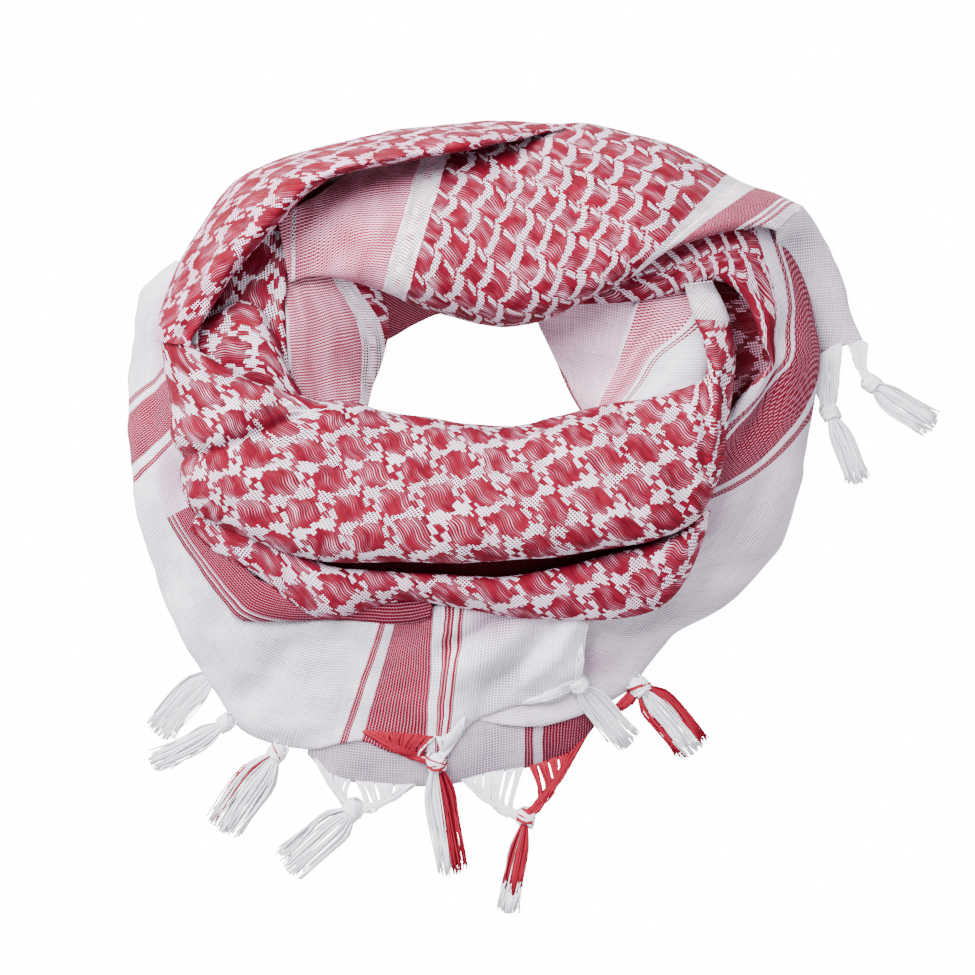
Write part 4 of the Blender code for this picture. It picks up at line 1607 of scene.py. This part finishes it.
@dataclass
class StrandMesh:
    """Tubes gathered into one mesh, each with its own material number."""

    points: list[np.ndarray] = field(default_factory=list)
    faces: list[tuple[int, ...]] = field(default_factory=list)
    places: list[np.ndarray] = field(default_factory=list)
    tones: list[int] = field(default_factory=list)
    count: int = 0

    def add(self, path: np.ndarray, radii: np.ndarray, tone: int, sides: int = 5) -> None:
        """Adds one closed tube along a path.

        Args:
            path: The path's points.
            radii: Its radius at each point.
            tone: Its material's number.
            sides: Points round it.
        """
        steps = len(path)
        heading = np.gradient(path, axis=0)
        heading /= np.maximum(np.linalg.norm(heading, axis=1, keepdims=True), 1e-9)
        up = np.where(np.abs(heading[:, 2:3]) > 0.9, [[1.0, 0, 0]], [[0, 0, 1.0]])
        first = np.cross(heading, up)
        first /= np.maximum(np.linalg.norm(first, axis=1, keepdims=True), 1e-9)
        second = np.cross(heading, first)
        angle = np.arange(sides) * 2 * math.pi / sides
        ring = first[:, None] * np.cos(angle)[None, :, None] + second[:, None] * np.sin(angle)[None, :, None]
        made = path[:, None] + ring * radii[:, None, None]
        start = sum(len(p) for p in self.points)
        self.points.append(made.reshape(-1, 3))
        run = np.concatenate([[0], np.cumsum(np.linalg.norm(np.diff(path, axis=0), axis=1))])
        across = self.count + 0.1 + 0.8 * angle[None, :] / 7 + 0 * run[:, None]
        place = np.stack([run[:, None] * np.ones((1, sides)), across], axis=2)
        self.places.append(place.reshape(-1, 2))
        for i in range(steps - 1):
            for j in range(sides):
                a, b = start + i * sides + j, start + i * sides + (j + 1) % sides
                self.faces.append((a, a + sides, b + sides, b))
        self.faces.append(tuple(start + j for j in range(sides)))
        self.faces.append(tuple(start + (steps - 1) * sides + j for j in reversed(range(sides))))
        self.tones += [tone] * ((steps - 1) * sides + 2)
        self.count += 1


def curve_through(points: Sequence[Sequence[float]], steps: int) -> np.ndarray:
    """A smooth curve through a few points."""
    return smooth_rows(np.array(points, float), steps)


class Tassel:
    """A tassel: threads gathered from the hem, the knot, and the threads beyond it."""

    STEPS = 9  # points along one thread
    LOOSE_RADII = (0.46, 0.36)  # of a loose thread, at the knot and at its end
    TIPPED_RADIUS = 0.42  # of a red thread with a white end
    KNOT_RADIUS = 0.6  # of a thread round the knot
    HEM_RADIUS = 0.55  # of a thread above the knot
    HEM_THREADS = 20  # for each of the hem's points
    LOWEST = 0.75  # the middle of a thread that lies on the floor

    def __init__(
        self, plan: TasselPlan, finishes: tuple[ThreadFinish, ThreadFinish], below: list[BVHTree]
    ) -> None:
        """Prepares the tassel.

        Args:
            plan: Its table row.
            finishes: The white and the red thread.
            below: The cloth, already laid.
        """
        self.below = below
        self.plan = plan
        self.finishes = finishes
        self.random = np.random.default_rng(sum(map(ord, plan.node)))
        self.strands = StrandMesh()

    def skirt(self) -> None:
        """The loose threads beyond the knot."""
        plan, rng = self.plan, self.random
        spine = curve_through(plan.path, self.STEPS)
        way = np.gradient(spine, axis=0)
        way /= np.linalg.norm(way, axis=1, keepdims=True)
        side = np.stack([way[:, 1], -way[:, 0], 0 * way[:, 0]], axis=1)
        side /= np.linalg.norm(side, axis=1, keepdims=True)
        share = np.linspace(0, 1, len(spine))
        for k in range(plan.strands):
            across = rng.uniform(-1, 1)
            level = rng.uniform(-1, 1)
            reach = rng.uniform(0.86, 1.04) - 0.08 * abs(across)
            spread = np.clip(share * 2.4, 0.22, 1.0) ** 0.8
            sway = rng.normal(0, 0.5) * np.sin(share * math.pi * rng.uniform(0.8, 1.7)) * 2.0
            off = across * plan.width / 2 * spread + sway * share
            rise = level * plan.radius * (0.62 - 0.35 * share)
            bent = np.stack([np.interp(share * reach, share, spine[:, c]) for c in range(3)], axis=1)
            line = bent + side * off[:, None]
            line[:, 2] = np.maximum(line[:, 2] + rise, self.LOWEST)
            lean = {0: 0.0, 2: abs(across) * 2 - 1}.get(plan.side, across * plan.side)
            is_red = rng.uniform(-1, 1) * (0.25 if plan.side else 1.0) + lean
            red = is_red > 1 - 2 * plan.red
            if plan.white_tip and red:
                cut = int(len(line) * rng.uniform(0.78, 0.9))
                self.strands.add(line[:cut], np.full(cut, self.TIPPED_RADIUS), 1)
                self.strands.add(line[cut - 1 :], np.full(len(line) - cut + 1, self.TIPPED_RADIUS), 0)
                continue
            radii = np.linspace(*self.LOOSE_RADII, len(line))
            self.strands.add(line, radii, int(red))

    def knot(self) -> None:
        """The overhand knot: two thick loops of threads round the neck."""
        plan, rng = self.plan, self.random
        spine = curve_through(plan.path, self.STEPS)
        way = Vector(spine[1] - spine[0]).normalized()
        side = way.cross(Vector((0, 0, 1))).normalized()
        up = side.cross(way)
        centre = Vector(spine[0])
        radius = plan.radius
        body = np.array([tuple(centre + way * (s * radius)) for s in np.linspace(-1.0, 1.1, 9)])
        swell = np.array([0.35, 0.62, 0.8, 0.86, 0.86, 0.8, 0.7, 0.6, 0.5]) * radius
        self.strands.add(body, swell, int(plan.red > 0.6), 12)
        for loop, (lean, shift, threads) in enumerate(((0.45, -0.25, 6), (-0.5, 0.2, 6), (0.1, 0.45, 4))):
            for k in range(threads):
                angle = np.linspace(0, 2 * math.pi, 15)
                put = shift + (k - threads / 2) * 0.16
                line = []
                for a in angle:
                    out = side * math.cos(a) + up * math.sin(a)
                    along = put + lean * math.sin(a + loop * 1.3)
                    size = radius * (0.98 - 0.2 * abs(put) + 0.03 * rng.normal())
                    line.append(tuple(centre + out * size + way * (along * radius)))
                red = rng.uniform() < plan.red * 0.5
                self.strands.add(np.array(line), np.full(len(line), self.KNOT_RADIUS), int(red))

    def gather(self) -> None:
        """The threads from the hem to the knot."""
        plan, rng = self.plan, self.random
        if not plan.hem:
            return
        knot, hem = np.array(plan.path[0]), np.array(plan.hem)
        count = self.HEM_THREADS * len(hem)
        for k in range(count):
            place = min(max((k + rng.uniform(-0.5, 0.5)) / (count - 1), 0), 1) * (len(hem) - 1)
            start = np.array([np.interp(place, range(len(hem)), hem[:, c]) for c in range(3)])
            outer = hem[0] if start[0] < knot[0] else hem[-1]
            bend = outer * 0.5 + knot * 0.5 + np.array([0, -plan.sag, 0])
            bundle = curve_through((outer, bend, knot), 12)
            reach = min(1.0, abs(start[0] - outer[0]) / max(abs(knot[0] - outer[0]), 1.0))
            join = int((0.25 + 0.55 * reach) * 11)
            stray = rng.normal(0, 1.0, 3) * np.array([0.8, 0.8, 0.5])
            follow = [p + stray * (1 - n / 12) for n, p in enumerate(bundle[join:-1:2])]
            line = curve_through((start, *follow, knot), self.STEPS)
            line[:, 2] = np.maximum(line[:, 2], 0.8 + rng.uniform(0, 1.2))
            if plan.over:
                self.rest(line, rng.uniform(0.4, 1.3))
            red = rng.uniform() < plan.red * 0.9
            if plan.pull:
                red = (start[0] - knot[0]) * plan.pull > rng.uniform(-1, 1)
            self.strands.add(line, np.full(len(line), self.HEM_RADIUS), int(red), 4)

    def rest(self, line: np.ndarray, gap: float) -> None:
        """Raises a thread's points onto the cloth below them, but for the last, at the knot.

        Args:
            line: The thread's points.
            gap: How far its middle lies above the cloth.
        """
        for point in line[:-2]:
            for tree in self.below:
                hit = tree.ray_cast(Vector((point[0], point[1], SKY)), DOWN)[0]
                if hit is not None:
                    point[2] = max(point[2], hit.z + gap)

    def build(self) -> bpy.types.Object:
        """Returns:
            The piece.
        """
        self.skirt()
        if self.plan.knotted:
            self.knot()
        self.gather()
        mesh = bpy.data.meshes.new(self.plan.node)
        points = np.concatenate(self.strands.points)
        mesh.from_pydata([tuple(p) for p in points * MM], [], self.strands.faces)
        mesh.polygons.foreach_set("material_index", self.strands.tones)
        write_places(mesh, {"cloth": np.concatenate(self.strands.places) * MM})
        for finish in self.finishes:
            mesh.materials.append(finish.graph.material)
        mesh.shade_smooth()
        obj = link_piece("threads_" + self.plan.node, mesh)
        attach(obj, "root")
        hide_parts(self.plan.node)
        LOG.info("%s: %d threads", obj.name, self.strands.count)
        return obj


# ------------------------------------------------------------------------------------------------ the stage


class Stage:
    """The pale floor, the soft light and the camera."""

    VIEW_CENTRE = (-23.25, 15.25)
    VIEW_WIDTH = 487.5
    DISTANCE = 5.0

    def build(self) -> None:
        """Makes the floor, the lights and the camera."""
        self.floor()
        self.lights()
        self.camera()

    def floor(self) -> None:
        """A plain pale floor under the object."""
        bpy.ops.mesh.primitive_plane_add(size=8, location=(0, 0, 0))
        floor = bpy.context.object
        floor.name = "floor"
        graph = Graph("pale_floor")
        graph.shader.inputs["Base Color"].default_value = (0.86, 0.86, 0.87, 1)
        graph.shader.inputs["Roughness"].default_value = 0.9
        graph.shader.inputs["Specular IOR Level"].default_value = 0.0
        seen = graph.node("ShaderNodeLightPath", {}, {})
        graph.shader.inputs["Emission Color"].default_value = (1, 1, 1, 1)
        glow = graph.num(seen.outputs["Is Camera Ray"]) * 14.0
        graph.tree.links.new(glow.value, graph.shader.inputs["Emission Strength"])
        floor.data.materials.append(graph.material)

    def lights(self) -> None:
        """One large soft light high on the left and a bright surround."""
        world = bpy.data.worlds.new("surround")
        bpy.context.scene.world = world
        world.use_nodes = True
        back = world.node_tree.nodes["Background"]
        back.inputs[0].default_value = (0.97, 0.98, 1.0, 1)
        back.inputs[1].default_value = 0.9
        for name, place, size, power in (
            ("key", (-1.0, 1.1, 1.65), 1.6, 238.0),
            ("fill", (1.4, -0.6, 1.6), 1.6, 22.0),
        ):
            light = bpy.data.lights.new(name, "AREA")
            light.shape = "DISK"
            light.size = size
            light.energy = power
            obj = bpy.data.objects.new(name, light)
            bpy.context.scene.collection.objects.link(obj)
            obj.location = place
            obj.rotation_mode = "QUATERNION"
            obj.rotation_quaternion = (Vector(place) - Vector((-0.02, 0.03, 0))).to_track_quat("Z", "Y")

    def camera(self) -> None:
        """The camera, straight above the object."""
        data = bpy.data.cameras.new("camera")
        data.sensor_width = 36.0
        data.lens = 36.0 * self.DISTANCE / (self.VIEW_WIDTH * MM)
        data.clip_end = 50.0
        camera = bpy.data.objects.new("camera", data)
        bpy.context.scene.collection.objects.link(camera)
        camera.location = (self.VIEW_CENTRE[0] * MM, self.VIEW_CENTRE[1] * MM, self.DISTANCE + 0.035)
        camera.rotation_euler = (0, 0, 0)
        bpy.context.scene.camera = camera


def main() -> None:
    """Builds the scarf, its tassels and the stage, in that order."""
    logging.basicConfig(level=logging.INFO, format="%(message)s")
    Stage().build()
    ring = RingShell()
    ring.build()
    laid = [ring.tree()]
    for stretch in STRETCHES:
        shell = ClothShell(stretch, laid)
        shell.build()
        laid.append(shell.tree())
    white = ThreadFinish("white_thread", (0.80, 0.79, 0.85, 1), (0.50, 0.48, 0.56, 1))
    red = ThreadFinish("red_thread", (0.27, 0.010, 0.026, 1), (0.12, 0.003, 0.011, 1))
    for plan in TASSELS:
        Tassel(plan, (white, red), laid).build()


if __name__ == "__main__":
    main()
